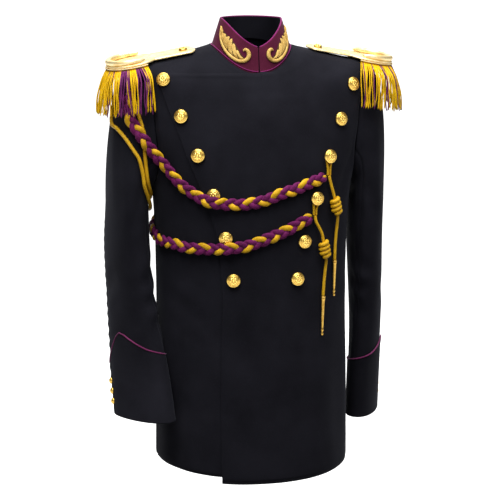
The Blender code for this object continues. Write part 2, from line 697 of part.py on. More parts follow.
collar_ply("collar", COLLAR_OUT, COLLAR_OUT - COLLAR_PLY, PLUM)
collar_ply("collar_inside", COLLAR_OUT - COLLAR_PLY - SEAM, COLLAR_OUT - 2 * COLLAR_PLY - SEAM, WOOL)
piping_route = []
for k in range(COLLAR_CELLS + 1):
    edge = collar_point(COLLAR_PIPING_TURN + (360 - 2 * COLLAR_PIPING_TURN) * k / COLLAR_CELLS, 1.0,
                        COLLAR_OUT - COLLAR_PLY)
    piping_route.append(edge + Vector((0, 0, COLLAR_PIPING_RISE)))
tube("collar_piping", piping_route, PIPING_RADIUS, PLUM, sides=1)
for side in ("left", "right"):
    collar_leaf("collar_leaf_" + side, side)


# Front buttons ----------------------------------------------------------------------------------
def button_seat(side, reach, height):
    """Place and facing of a button on the front that carries it."""
    turn, level = front_place(reach, height)
    outward = (body_point(turn, level, 0.01) - body_point(turn, level)).normalized()
    if side == "right":
        stand = lift(-turn, level, 90.0, 91.0)
    else:
        stand = lift(turn, level, lap_turn(level) + 2.0, side_turn(level))
    seat = body_point(turn, level) + outward * (stand + SEAT)
    if side == "right":
        seat.x = -seat.x
        outward.x = -outward.x
    return seat, outward


for number, place in enumerate(FRONT_BUTTONS, start=1):
    left, right = ("left", place.left_z, place.left_sink), ("right", place.right_z, place.right_sink)
    for side, height, sink in (left, right):
        seat, outward = button_seat(side, place.reach, height)
        seat -= outward * sink
        shank = LOOP_SHANK if side == "left" and number in LOOP_BUTTONS else BUTTON_SHANK
        turned(f"button_{side}_{number}", button_profile(BUTTON_RADIUS, BUTTON_HEIGHT, shank), 10, GILT,
               set_on(seat, outward))


# Epaulettes -------------------------------------------------------------------------------------
def board_frame(side):
    """Local frame of an epaulette: X along the board from its neck end, Z up from its underside."""
    turn = Matrix.Rotation(math.radians(BOARD_SLOPE), 4, "Y")
    turn @= Matrix.Rotation(math.radians(BOARD_TILT), 4, "X")
    frame = Matrix.Translation((BOARD_START_X, BOARD_Y, BOARD_START_Z[side])) @ turn
    if side == "right":
        frame = Matrix.Scale(-1, 4, (1, 0, 0)) @ frame
    return frame


def board_outline():
    """Half outline of the board: a round neck end, a straight strap and a round end plate."""
    points = [(STRAP_END * (1 - math.cos(a)), STRAP_HALF_WIDTH * math.sin(a))
              for a in (math.pi / 2 * k / 4 for k in range(5))]
    meet = math.asin(STRAP_HALF_WIDTH / PLATE_RADIUS)
    for k in range(11):
        a = math.pi - meet - (math.pi - meet) * k / 10
        points.append((PLATE_CENTRE + PLATE_RADIUS * math.cos(a), PLATE_RADIUS * math.sin(a)))
    return points


def plate(name, side):
    """Flat board cut to its outline, as a closed solid between two sheets."""
    half = board_outline()
    frame = board_frame(side)
    inside = [(x, y * f) for f in (1.0, 0.34, -0.34, -1.0) for x, y in half]
    count = len(half)
    grids = []
    for height in (BOARD_THICKNESS, 0.0):
        points = [frame @ Vector((x, y, height)) for x, y in inside]
        grids.append([points[c * count + 1:(c + 1) * count - 1] for c in range(4)])
    return wall(name, grids[0], grids[1], GILT)


def crescent(name, side):
    """Padded rim on the end plate, open towards the neck and thinner at its two horns."""
    frame = board_frame(side)
    radius = PLATE_RADIUS - CRESCENT_RADIUS
    rows = []
    for k in range(17):
        angle = math.radians(-FRINGE_SPAN + 2 * FRINGE_SPAN * k / 16)
        thick = CRESCENT_RADIUS * (0.45 + 0.55 * math.cos(angle / 2.2) ** 0.7)
        middle = Vector((PLATE_CENTRE + radius * math.cos(angle), radius * math.sin(angle), 0.0))
        outward = Vector((math.cos(angle), math.sin(angle), 0.0))
        ring = []
        for m in range(8):
            a = 2 * math.pi * m / 8
            lift_up = BOARD_THICKNESS + SEAM + thick * (1 + math.sin(a))
            ring.append(frame @ (middle + outward * thick * math.cos(a) + Vector((0, 0, lift_up))))
        rows.append(ring)
    return capped_loft(name, rows, GILT)


def capped_loft(name, rows, material):
    """Closed solid through rings of points, with a flat cap on each end."""
    shape = bmesh.new()
    rings = [[shape.verts.new(p) for p in ring] for ring in rows]
    count = len(rings[0])
    for a, b in zip(rings, rings[1:]):
        for j in range(count):
            n = (j + 1) % count
            shape.faces.new((a[j], a[n], b[n], b[j]))
    shape.faces.new(rings[0][::-1])
    shape.faces.new(rings[-1])
    bmesh.ops.recalc_face_normals(shape, faces=shape.faces)
    mesh = bpy.data.meshes.new(name)
    shape.to_mesh(mesh)
    shape.free()
    return make_object(name, mesh, material)


def fringe(name, side):
    """Backing strip under the plate's rim with cord strands drawn down out of its underside."""
    frame = board_frame(side)
    shape = bmesh.new()
    top_ring, low_ring = [], []
    span = math.radians(FRINGE_SPAN)
    angles = [-span + 2 * span * k / FRINGE_CELLS for k in range(FRINGE_CELLS + 1)]
    for angle in angles:
        outward = Vector((math.cos(angle), math.sin(angle), 0.0))
        corners = []
        for radius, drop in ((PLATE_RADIUS, SEAM), (PLATE_RADIUS - STRIP_WIDTH, SEAM),
                             (PLATE_RADIUS - STRIP_WIDTH, STRIP_HEIGHT), (PLATE_RADIUS, STRIP_HEIGHT)):
            corners.append(shape.verts.new(frame @ (Vector((PLATE_CENTRE, 0, -drop)) + outward * radius)))
        top_ring.append(corners)
    undersides = []
    for k in range(FRINGE_CELLS):
        a, b = top_ring[k], top_ring[k + 1]
        for m in range(4):
            n = (m + 1) % 4
            face = shape.faces.new((a[m], a[n], b[n], b[m]))
            if m == 2:
                undersides.append((k, face))
    shape.faces.new(top_ring[0][::-1])
    shape.faces.new(top_ring[-1])
    bmesh.ops.recalc_face_normals(shape, faces=shape.faces)
    centre = frame @ Vector((PLATE_CENTRE, 0, 0))
    for k, face in undersides:
        angle = (angles[k] + angles[k + 1]) / 2
        flat = (frame.to_3x3() @ Vector((math.cos(angle), math.sin(angle), 0.0)))
        outward = Vector((flat.x, flat.y, 0.0)).normalized()
        sway = 0.5 * math.sin(2.4 * k) + 0.5 * math.sin(5.1 * k + 1.0)
        root = face.calc_center_median()
        flare = Vector((math.cos(angle) * FRINGE_FLARE, math.sin(angle) * FRINGE_SIDE_FLARE, 0.0))
        flare = frame.to_3x3() @ flare
        flare.z = 0.0
        length = FRINGE_LENGTH * (1 + 0.04 * math.sin(3.7 * k))
        sideways = Vector((-outward.y, outward.x, 0.0)) * sway * 0.0012
        bmesh.ops.inset_individual(shape, faces=[face], thickness=0.0007)
        for step, reach in ((0.28, 0.50 + 0.42 * math.sin(angle) ** 2), (1.0, 1.0)):
            drawn = bmesh.ops.extrude_discrete_faces(shape, faces=[face])
            face = drawn["faces"][0]
            middle = root + flare * reach + sideways * step - Vector((0, 0, length * step))
            now = face.calc_center_median()
            for corner in face.verts:
                corner.co = middle + (corner.co - now) * (1.0 if step < 1 else 0.85)
    mesh = bpy.data.meshes.new(name)
    bmesh.ops.recalc_face_normals(shape, faces=shape.faces)
    shape.to_mesh(mesh)
    shape.free()
    return make_object(name, mesh, GOLD_CORD)


for side in ("left", "right"):
    plate("epaulette_board_" + side, side)
    crescent("epaulette_crescent_" + side, side)
    fringe("epaulette_fringe_" + side, side)
    frame = board_frame(side)
    seat = frame @ Vector((BOSS_PLACE, 0, BOARD_THICKNESS + SEAM))
    turned("epaulette_boss_" + side, button_profile(BOSS_RADIUS, BOSS_HEIGHT), 10, GILT,
           set_on(seat, frame.to_3x3() @ Vector((0, 0, 1))))


# Shoulder cord ----------------------------------------------------------------------------------
# Middle line of each plait, with the way its flat side faces: degrees round the body (0 front,
# -90 the wearer's right) and upwards.
PlaitRow = namedtuple("PlaitRow", "x y z facing tilt")
UPPER_PLAIT = [
    PlaitRow(-0.2149, -0.0492, -0.0695, -36, 17), PlaitRow(-0.2201, -0.0556, -0.0923, -37, 14),
    PlaitRow(-0.2186, -0.0615, -0.1150, -31, 10), PlaitRow(-0.2076, -0.0719, -0.1347, -18, 7),
    PlaitRow(-0.1944, -0.0758, -0.1553, -8, 2), PlaitRow(-0.1796, -0.0748, -0.1743, -17, -4),
    PlaitRow(-0.1642, -0.0783, -0.1924, -36, -6), PlaitRow(-0.1513, -0.0875, -0.2105, -42, -6),
    PlaitRow(-0.1369, -0.0977, -0.2267, -38, -6), PlaitRow(-0.1195, -0.1083, -0.2391, -35, -5),
    PlaitRow(-0.1111, -0.1153, -0.2442, -33, -5), PlaitRow(-0.1028, -0.1244, -0.2479, -28, -4),
    PlaitRow(-0.0929, -0.1324, -0.2510, -23, -2), PlaitRow(-0.0795, -0.1318, -0.2535, -16, -1),
    PlaitRow(-0.0666, -0.1299, -0.2551, -12, 0), PlaitRow(-0.0426, -0.1325, -0.2555, -6, 1),
    PlaitRow(-0.0188, -0.1341, -0.2528, -3, 1), PlaitRow(0.0045, -0.1343, -0.2473, 1, 1),
    PlaitRow(0.0271, -0.1336, -0.2392, 3, 1), PlaitRow(0.0502, -0.1315, -0.2327, 7, 2),
    PlaitRow(0.0725, -0.1274, -0.2249, 12, 2), PlaitRow(0.0947, -0.1213, -0.2180, 17, 1),
    PlaitRow(0.1056, -0.1173, -0.2148, 18, 1),
]
LOWER_PLAIT = [
    PlaitRow(0.0794, -0.1255, -0.2814, 14, -1), PlaitRow(0.0577, -0.1301, -0.2912, 10, -1),
    PlaitRow(0.0364, -0.1327, -0.3022, 6, -1), PlaitRow(0.0137, -0.1338, -0.3107, 2, -1),
    PlaitRow(-0.0090, -0.1338, -0.3189, -1, -1), PlaitRow(-0.0320, -0.1327, -0.3265, -5, -1),
    PlaitRow(-0.0438, -0.1317, -0.3286, -7, -1), PlaitRow(-0.0561, -0.1318, -0.3294, -10, -1),
    PlaitRow(-0.0689, -0.1327, -0.3303, -13, -1), PlaitRow(-0.0796, -0.1256, -0.3311, -18, -1),
    PlaitRow(-0.0901, -0.1186, -0.3317, -21, -1), PlaitRow(-0.1119, -0.1087, -0.3321, -31, -1),
    PlaitRow(-0.1316, -0.0952, -0.3317, -41, -1), PlaitRow(-0.1490, -0.0794, -0.3278, -49, -1),
    PlaitRow(-0.1612, -0.0591, -0.3266, -62, -1), PlaitRow(-0.1698, -0.0370, -0.3260, -75, -1),
    PlaitRow(-0.1722, -0.0140, -0.3201, -84, -2), PlaitRow(-0.1730, 0.0095, -0.3178, -93, -3),
    PlaitRow(-0.1696, 0.0324, -0.3152, -105, -3), PlaitRow(-0.1603, 0.0527, -0.3075, -119, -3),
    PlaitRow(-0.1496, 0.0696, -0.2946, -132, -3), PlaitRow(-0.1399, 0.0796, -0.2749, -139, -4),
    PlaitRow(-0.1334, 0.0874, -0.2530, -143, -4), PlaitRow(-0.1296, 0.0917, -0.2295, -150, -2),
    PlaitRow(-0.1286, 0.0940, -0.2055, -153, -3), PlaitRow(-0.1301, 0.0951, -0.1814, -157, -2),
    PlaitRow(-0.1329, 0.0942, -0.1574, -159, -1), PlaitRow(-0.1375, 0.0926, -0.1337, -158, 1),
    PlaitRow(-0.1436, 0.0892, -0.1106, -154, 3), PlaitRow(-0.1511, 0.0836, -0.0883, -152, 5),
    PlaitRow(-0.1615, 0.0756, -0.0681, -151, 6), PlaitRow(-0.1676, 0.0711, -0.0586, -151, 7),
]

# Plain cords round the wearer's right arm, from under the epaulette's front to under its back.
SIDE_CORD_A = [
    (-0.2330, -0.0060, -0.0680), (-0.2380, -0.0038, -0.0906), (-0.2424, -0.0030, -0.1131),
    (-0.2433, -0.0127, -0.1296), (-0.2377, -0.0347, -0.1345), (-0.2277, -0.0518, -0.1470),
    (-0.2162, -0.0627, -0.1646), (-0.2104, -0.0669, -0.1740), (-0.2047, -0.0682, -0.1844),
    (-0.1991, -0.0676, -0.2072),
    (-0.1957, -0.0655, -0.2305), (-0.1889, -0.0564, -0.2498), (-0.1834, -0.0410, -0.2645),
    (-0.1807, -0.0221, -0.2744), (-0.1800, -0.0011, -0.2790), (-0.1805, 0.0203, -0.2779),
    (-0.1827, 0.0403, -0.2714), (-0.1861, 0.0572, -0.2597), (-0.1901, 0.0687, -0.2427),
    (-0.1932, 0.0746, -0.2222), (-0.1952, 0.0761, -0.1999), (-0.1965, 0.0751, -0.1770),
    (-0.1983, 0.0725, -0.1538), (-0.2009, 0.0686, -0.1307), (-0.2048, 0.0634, -0.1081),
    (-0.2095, 0.0567, -0.0859), (-0.2120, 0.0530, -0.0750),
]
SIDE_CORD_B = [
    (-0.2042, -0.0540, -0.0840), (-0.2040, -0.0587, -0.1076), (-0.1986, -0.0644, -0.1303),
    (-0.1961, -0.0661, -0.1543), (-0.1948, -0.0668, -0.1784), (-0.1926, -0.0652, -0.2023),
    (-0.1891, -0.0607, -0.2256), (-0.1831, -0.0466, -0.2422), (-0.1806, -0.0267, -0.2526),
    (-0.1781, -0.0057, -0.2581), (-0.1759, 0.0155, -0.2572), (-0.1727, 0.0348, -0.2494),
    (-0.1684, 0.0506, -0.2356), (-0.1646, 0.0619, -0.2172), (-0.1624, 0.0693, -0.1960),
    (-0.1623, 0.0732, -0.1734), (-0.1642, 0.0743, -0.1501), (-0.1677, 0.0727, -0.1269),
    (-0.1726, 0.0687, -0.1040), (-0.1788, 0.0629, -0.0817), (-0.1860, 0.0560, -0.0600),
]

# Thin loops round the shanks of two front buttons, and the hanging ends below them.
UPPER_LOOP = [
    (0.1102, -0.1127, -0.2130), (0.1101, -0.1129, -0.2018), (0.1081, -0.1130, -0.1880),
    (0.1076, -0.1126, -0.1809), (0.1090, -0.1119, -0.1774), (0.1125, -0.1105, -0.1754),
    (0.1160, -0.1093, -0.1774), (0.1174, -0.1090, -0.1810), (0.1169, -0.1096, -0.1881),
    (0.1149, -0.1109, -0.2018), (0.1147, -0.1107, -0.2131),
]
LOWER_LOOP = [
    (0.0842, -0.1212, -0.2795), (0.0841, -0.1218, -0.2694), (0.0838, -0.1221, -0.2577),
    (0.0833, -0.1223, -0.2507), (0.0845, -0.1220, -0.2467), (0.0882, -0.1209, -0.2451),
    (0.0919, -0.1198, -0.2467), (0.0931, -0.1192, -0.2507), (0.0926, -0.1192, -0.2578),
    (0.0889, -0.1202, -0.2694), (0.0887, -0.1197, -0.2795),
]
UPPER_TAG = [
    (0.1125, -0.1128, -0.2140), (0.1150, -0.1127, -0.2250), (0.1182, -0.1122, -0.2362),
    (0.1216, -0.1112, -0.2474), (0.1262, -0.1088, -0.2667), (0.1299, -0.1058, -0.2850),
    (0.1300, -0.1024, -0.3003), (0.1288, -0.1002, -0.3171), (0.1278, -0.0992, -0.3372),
    (0.1270, -0.0990, -0.3621),
]
LOWER_TAG = [
    (0.0864, -0.1212, -0.2805), (0.0884, -0.1216, -0.2910), (0.0950, -0.1205, -0.3033),
    (0.0993, -0.1198, -0.3130), (0.1018, -0.1188, -0.3240), (0.1047, -0.1174, -0.3392),
    (0.1074, -0.1158, -0.3545), (0.1080, -0.1138, -0.3640), (0.1070, -0.1124, -0.3780),
    (0.1050, -0.1127, -0.3979), (0.1034, -0.1139, -0.4208),
]
UPPER_POINT = ((0.1270, -0.0990, -0.3626), (0.1258, -0.0996, -0.4256))
LOWER_POINT = ((0.1034, -0.1139, -0.4213), (0.1011, -0.1175, -0.4901))

PLAIT_LOBE = 0.0164         # from one lobe of a plait's edge to the next on the same side
PLAIT_NARROW = 0.93         # width between lobes, as a share of the full width
# Corners of a plait's section: which edge's lobes widen it, and its place across and outwards as
# shares of half the width and half the thickness.
PLAIT_SECTION = [(0, 1.0, 0), (0, 0.56, 1), (1, -0.56, 1), (1, -1.0, 0), (1, -0.56, -1), (0, 0.56, -1)]
SIDE_CORD_SPACING = 0.015
LOOP_SPACING = 0.007
TAG_SPACING = 0.012
KNOT_TURN = 0.00775         # height of each of the four turns of a slip knot
KNOT_RADIUS = 0.0106
KNOT_GROOVE = 0.0090
KNOT_HOLE = 0.0044
KNOT_FLATNESS = 0.75        # its depth as a share of its width
# Metal point: radius in metres at shares of its length.
PointRow = namedtuple("PointRow", "share radius")
METAL_POINT = [
    PointRow(0.0, 0.0), PointRow(0.0, 0.0036), PointRow(0.10, 0.0036), PointRow(0.14, 0.0028),
    PointRow(0.70, 0.0021), PointRow(0.86, 0.0013), PointRow(0.91, 0.0021), PointRow(0.96, 0.0017),
    PointRow(1.0, 0.0),
]


def plait(name, table):
    """Flattened solid of a three-strand plait along its rows, with lobes along both edges."""
    rows = smooth_route(table, PLAIT_LOBE / 2)
    rings = []
    for k, row in enumerate(rows):
        facing, tilt = math.radians(row[3]), math.radians(row[4])
        outward = Vector((math.sin(facing), -math.cos(facing), math.tan(tilt))).normalized()
        ahead = Vector(rows[min(k + 1, len(rows) - 1)][:3]) - Vector(rows[max(k - 1, 0)][:3])
        across = outward.cross(ahead).normalized()
        wide = (1.0, PLAIT_NARROW) if k % 2 else (PLAIT_NARROW, 1.0)
        ring = []
        for edge, flat, high in PLAIT_SECTION:
            ring.append(Vector(row[:3]) + across * flat * wide[edge] * PLAIT_WIDTH / 2
                        + outward * high * PLAIT_THICKNESS / 2)
        rings.append(ring)
    return capped_loft(name, rings, PURPLE_CORD)


def cord(name, route, spacing, radius):
    return tube(name, [row[:3] for row in smooth_route(route, spacing)], radius, GOLD_CORD)


def slip_knot(name, route, middle):
    """Ribbed knot of four turns round a hanging cord, at one row of its route."""
    along = (Vector(route[middle - 1]) - Vector(route[middle + 1])).normalized()
    place = front_place(route[middle][0], route[middle][2])
    outward = body_point(*place, 0.01) - body_point(*place)
    side = outward.cross(along).normalized()
    outward = along.cross(side) * KNOT_FLATNESS
    frame = Matrix((side, outward, along)).transposed().to_4x4()
    profile = [(KNOT_HOLE, -2 * KNOT_TURN), (KNOT_GROOVE * 0.9, -2 * KNOT_TURN)]
    for k in (-2, -1, 0, 1):
        profile.append((KNOT_RADIUS, (k + 0.5) * KNOT_TURN))
        profile.append((KNOT_GROOVE if k < 1 else KNOT_GROOVE * 0.9, (k + 1) * KNOT_TURN))
    profile.append((KNOT_HOLE, 2 * KNOT_TURN))
    turned(name, profile[::-1], 10, GOLD_CORD, Matrix.Translation(Vector(route[middle])) @ frame, ring=True)


def metal_point(name, ends):
    start, tip = Vector(ends[0]), Vector(ends[1])
    profile = [(row.radius, row.share * (tip - start).length) for row in METAL_POINT]
    turned(name, profile[::-1], 8, GILT, set_on(start, tip - start))


plait("plait_upper", UPPER_PLAIT)
plait("plait_lower", LOWER_PLAIT)
cord("side_cord_a", SIDE_CORD_A, SIDE_CORD_SPACING, CORD_RADIUS)
cord("side_cord_b", SIDE_CORD_B, SIDE_CORD_SPACING, CORD_RADIUS)
cord("loop_upper", UPPER_LOOP, LOOP_SPACING, LOOP_RADIUS)
cord("loop_lower", LOWER_LOOP, LOOP_SPACING, LOOP_RADIUS)
cord("tag_cord_upper", UPPER_TAG, TAG_SPACING, TAG_RADIUS)
cord("tag_cord_lower", LOWER_TAG, TAG_SPACING, TAG_RADIUS)
slip_knot("tag_knot_upper", UPPER_TAG, 4)
slip_knot("tag_knot_lower", LOWER_TAG, 5)
metal_point("ferrule_upper", UPPER_POINT)
metal_point("ferrule_lower", LOWER_POINT)
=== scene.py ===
"""Double-breasted dress tunic dressed over its CAD solids: cloth, collar, buttons, epaulettes and
the plaited shoulder cord. Lengths are in metres, the front faces -Y, the wearer's left is +X."""
import json
import math
from collections import namedtuple

import bpy
import numpy as np
from mathutils import Matrix, Vector

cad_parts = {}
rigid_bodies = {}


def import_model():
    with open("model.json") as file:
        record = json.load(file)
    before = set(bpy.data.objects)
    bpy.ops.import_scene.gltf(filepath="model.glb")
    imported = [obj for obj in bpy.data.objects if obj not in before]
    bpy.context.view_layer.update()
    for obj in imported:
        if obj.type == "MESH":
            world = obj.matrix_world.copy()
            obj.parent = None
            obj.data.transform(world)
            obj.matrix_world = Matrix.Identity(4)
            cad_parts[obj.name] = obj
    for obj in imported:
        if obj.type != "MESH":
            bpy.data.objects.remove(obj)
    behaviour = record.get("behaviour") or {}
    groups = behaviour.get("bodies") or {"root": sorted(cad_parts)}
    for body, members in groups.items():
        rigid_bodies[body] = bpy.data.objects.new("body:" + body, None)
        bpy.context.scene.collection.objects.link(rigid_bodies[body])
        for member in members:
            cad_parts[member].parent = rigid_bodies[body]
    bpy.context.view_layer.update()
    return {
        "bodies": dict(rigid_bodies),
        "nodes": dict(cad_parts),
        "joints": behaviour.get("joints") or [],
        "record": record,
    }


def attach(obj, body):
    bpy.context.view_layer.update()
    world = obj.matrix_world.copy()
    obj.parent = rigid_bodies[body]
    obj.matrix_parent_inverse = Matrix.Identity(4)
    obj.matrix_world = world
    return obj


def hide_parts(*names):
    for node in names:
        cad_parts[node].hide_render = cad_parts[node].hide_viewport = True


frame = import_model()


# Studio -----------------------------------------------------------------------------------------
# The coat hangs clear of a plain pale floor, in the soft white light of a product photograph: a
# broad ceiling light, two panels of light high in front, one behind, and a dim room all round.
# The camera stands a little to the wearer's right and above the waist, with a long lens.
class Shade:
    """One output of a material's node. Sums and products of outputs add the nodes they need."""

    def __init__(self, tree, socket):
        self.tree = tree
        self.socket = socket

    def node(self, kind, settings, sockets, output=0):
        """A new node: its type, its settings, and then the values or links of its sockets."""
        made = self.tree.nodes.new(kind)
        for key, value in settings.items():
            if key != "stops":
                setattr(made, key, value)
                continue
            stops = made.color_ramp.elements
            while len(stops) < len(value):
                stops.new(0.5)
            for stop, (place, level) in zip(stops, value):
                stop.position = place
                stop.color = (level, level, level, 1.0)
        for key, value in sockets.items():
            if isinstance(value, Shade):
                self.tree.links.new(value.socket, made.inputs[key])
            else:
                made.inputs[key].default_value = value
        return Shade(self.tree, made.outputs[output])

    def math(self, operation, *others):
        return self.node("ShaderNodeMath", {"operation": operation}, dict(enumerate(others)))

    def __add__(self, other):
        return self.math("ADD", self, other)

    def __radd__(self, other):
        return self.math("ADD", other, self)

    def __sub__(self, other):
        return self.math("SUBTRACT", self, other)

    def __rsub__(self, other):
        return self.math("SUBTRACT", other, self)

    def __mul__(self, other):
        return self.math("MULTIPLY", self, other)

    def __rmul__(self, other):
        return self.math("MULTIPLY", other, self)

    def noise(self, scale, detail=2.0, stretch=(1, 1, 1)):
        """Soft noise in the coat's own space, in features to the metre along each direction."""
        place = self.node("ShaderNodeTexCoord", {}, {}, 3)
        place = self.node("ShaderNodeVectorMath", {"operation": "MULTIPLY"}, {0: place, 1: stretch})
        return self.node("ShaderNodeTexNoise", {}, {"Vector": place, "Scale": scale, "Detail": detail})

    def between(self, low, high):
        """This value spread out so that low becomes 0 and high becomes 1."""
        return self.node("ShaderNodeMapRange", {}, {0: self, 1: low, 2: high})

    def blend(self, first, second):
        """Colour between two others, by this value."""
        ends = [(*c, 1.0) if isinstance(c, tuple) else c for c in (first, second)]
        return self.node("ShaderNodeMix", {"data_type": "RGBA"}, {0: self, 6: ends[0], 7: ends[1]}, 2)

    def relief(self, depth, normal=None):
        """Bumps of this value's height, over those of another normal."""
        under = {} if normal is None else {"Normal": normal}
        return self.node("ShaderNodeBump", {}, {"Strength": 1.0, "Distance": depth, "Height": self, **under})


def new_finish(name, steady):
    """Material with its steady shader values set by socket name, and a start for its shading."""
    material = bpy.data.materials.new(name)
    material.use_nodes = True
    shader = material.node_tree.nodes["Principled BSDF"]
    for socket, value in steady.items():
        shader.inputs[socket].default_value = value
    return material, Shade(material.node_tree, None)


def feed(material, varying):
    """Link what changes over the surface to the material's shader."""
    shader = material.node_tree.nodes["Principled BSDF"]
    for socket, value in varying.items():
        material.node_tree.links.new(value.socket, shader.inputs[socket])


def built(name, points, faces, finishes):
    """Object in the scene with a smooth mesh of these points and faces."""
    mesh = bpy.data.meshes.new(name)
    mesh.from_pydata(points, [], faces)
    mesh.shade_smooth()
    for finish in finishes:
        mesh.materials.append(finish)
    made = bpy.data.objects.new(name, mesh)
    bpy.context.scene.collection.objects.link(made)
    return made


FLOOR_Z = -1.15
FLOOR_HALF = 400.0
FLOOR_TONES = (0.93, 0.93, 0.93), (0.95, 0.95, 0.95)
pale, shade = new_finish("pale_floor", {"Roughness": 0.9})
feed(pale, {"Base Color": shade.noise(3.0).blend(*FLOOR_TONES)})
corners = [(x * FLOOR_HALF, y * FLOOR_HALF, FLOOR_Z) for x, y in ((-1, -1), (1, -1), (1, 1), (-1, 1))]
floor = built("floor", corners, [(0, 1, 2, 3)], [pale])
floor.visible_diffuse = False       # it shows, but throws no light up at the cloth

ROOM_STRENGTH = 0.14
room = bpy.data.worlds.new("pale_room")
room.use_nodes = True
background = room.node_tree.nodes["Background"].inputs
background["Color"].default_value = (1.0, 1.0, 1.0, 1.0)
background["Strength"].default_value = ROOM_STRENGTH
bpy.context.scene.world = room
bpy.context.scene.view_settings.view_transform = "Standard"

AIM = Vector((-0.0011, 0.0, -0.3583))      # lamps and camera all point at the middle of the coat
Lamp = namedtuple("Lamp", "name kind place spread power")
for lamp in (Lamp("ceiling_light", "SUN", (-0.08, -0.16, 1.20), 0.9, 4.2),
             Lamp("key_light", "AREA", (-0.50, -0.95, 0.90), 0.6, 11.0),
             Lamp("fill_light", "AREA", (0.75, -1.00, 0.80), 0.6, 4.8),
             Lamp("back_light", "AREA", (0.2, 2.3, 1.1), 2.8, 34.0)):
    light = bpy.data.lights.new(lamp.name, lamp.kind)
    if lamp.kind == "SUN":
        light.angle = lamp.spread
    else:
        light.shape = "SQUARE"
        light.size = lamp.spread
    light.energy = lamp.power
    stand = bpy.data.objects.new(lamp.name, light)
    bpy.context.scene.collection.objects.link(stand)
    stand.location = lamp.place
    stand.rotation_mode = "QUATERNION"
    stand.rotation_quaternion = (AIM - Vector(lamp.place)).to_track_quat("-Z", "Y")

CAMERA_AZIMUTH = math.radians(-11.66)
CAMERA_ELEVATION = math.radians(10.55)
CAMERA_DISTANCE = 3.0
LENS = 122.8                # its focal length and the width of the film behind it, in millimetres
FILM_WIDTH = 36.0
eye = bpy.data.cameras.new("camera")
eye.lens = LENS
eye.sensor_width = FILM_WIDTH
camera = bpy.data.objects.new("camera", eye)
bpy.context.scene.collection.objects.link(camera)
to_camera = Vector((math.sin(CAMERA_AZIMUTH) * math.cos(CAMERA_ELEVATION),
                    -math.cos(CAMERA_AZIMUTH) * math.cos(CAMERA_ELEVATION), math.sin(CAMERA_ELEVATION)))
camera.location = AIM + to_camera * CAMERA_DISTANCE
camera.rotation_mode = "QUATERNION"
camera.rotation_quaternion = (-to_camera).to_track_quat("-Z", "Y")
bpy.context.scene.camera = camera


# Fronts and backs -------------------------------------------------------------------------------
# Four panels of heavy felted navy wool, cut to shape and sewn at the sides, the shoulders and the
# centre back. The wearer's left front laps over the right one and is held by the buttons.
# Each panel is a double sheet of cloth on the body form, with its soft folds set in.
CLOTH = 0.0022              # wall of the wool with its canvas
SEAM = 0.00002              # gap between sewn pieces, too fine to let light through
LAP_GAP = 0.0006            # air between the two fronts where they lap
LAP_TOP_AIR = 0.0012        # and more of it along the lap's loose top edge
LAP_TOP_Z = -0.043          # straight top edge of the lapping front
UNDER_LAP_TOP_Z = -0.053    # and of the hidden part of the front beneath it
# Rings of the body form from the hem up to the neck seam; squareness 2 is an ellipse.
BodyRing = namedtuple("BodyRing", "half_width front_depth back_depth front_z side_z back_z squareness")
BODY_RINGS = [
    BodyRing(0.1700, 0.140, 0.128, -0.742, -0.730, -0.730, 2.3),
    BodyRing(0.1690, 0.137, 0.124, -0.640, -0.640, -0.640, 2.3),
    BodyRing(0.1680, 0.133, 0.119, -0.550, -0.550, -0.550, 2.3),
    BodyRing(0.1665, 0.127, 0.111, -0.456, -0.456, -0.456, 2.3),
    BodyRing(0.1670, 0.125, 0.108, -0.370, -0.370, -0.370, 2.3),
    BodyRing(0.1685, 0.126, 0.110, -0.300, -0.300, -0.300, 2.35),
    BodyRing(0.1740, 0.126, 0.112, -0.235, -0.235, -0.235, 2.4),
    BodyRing(0.1880, 0.121, 0.111, -0.180, -0.180, -0.180, 2.4),
    BodyRing(0.2000, 0.110, 0.107, -0.120, -0.120, -0.120, 2.4),
    BodyRing(0.2040, 0.101, 0.101, -0.092, -0.068, -0.078, 2.35),
    BodyRing(0.2000, 0.093, 0.092, -0.074, -0.030, -0.044, 2.3),
    BodyRing(0.1650, 0.088, 0.084, -0.063, -0.0215, -0.026, 2.2),
    BodyRing(0.1270, 0.083, 0.075, -0.054, -0.0130, -0.011, 2.1),
    BodyRing(0.0950, 0.078, 0.067, -0.047, -0.0055, +0.002, 2.1),
    BodyRing(0.0672, 0.073, 0.059, -0.0415, 0.0, +0.011, 2.1),
]
CHEST, NECK = 8, 14
UNDERARM, SHOULDER = 6.0, 10.0
ARMHOLE_MIDDLE, ARMHOLE_REACH = (UNDERARM + SHOULDER) / 2, (SHOULDER - UNDERARM) / 2
RIGHT_HEM_LEVEL = 0.11      # the under front and the back on its side hang a little shorter
# Armhole edge: its turn on the front and on the back, at angles round it from the shoulder end.
Armhole = namedtuple("Armhole", "angle front_turn back_turn")
ARMHOLE = [
    Armhole(0.0, 90.0, 90.0), Armhole(36.9, 74.0, 105.0), Armhole(56.6, 64.5, 115.0),
    Armhole(78.5, 60.0, 119.5), Armhole(101.5, 61.0, 120.0), Armhole(120.0, 64.0, 117.0),
    Armhole(138.6, 69.5, 111.0), Armhole(157.7, 79.0, 101.0), Armhole(180.0, 90.0, 90.0),
]
# Front edge of the lap: its distance from the centre front at each height.
LapEdge = namedtuple("LapEdge", "height reach")
LAP_EDGE = [
    LapEdge(-0.745, 0.0765), LapEdge(-0.600, 0.0765), LapEdge(-0.500, 0.0745), LapEdge(-0.420, 0.0725),
    LapEdge(-0.340, 0.0775), LapEdge(-0.290, 0.0875), LapEdge(-0.230, 0.1085), LapEdge(-0.170, 0.1320),
    LapEdge(-0.105, 0.1570), LapEdge(-0.043, 0.1720),
]


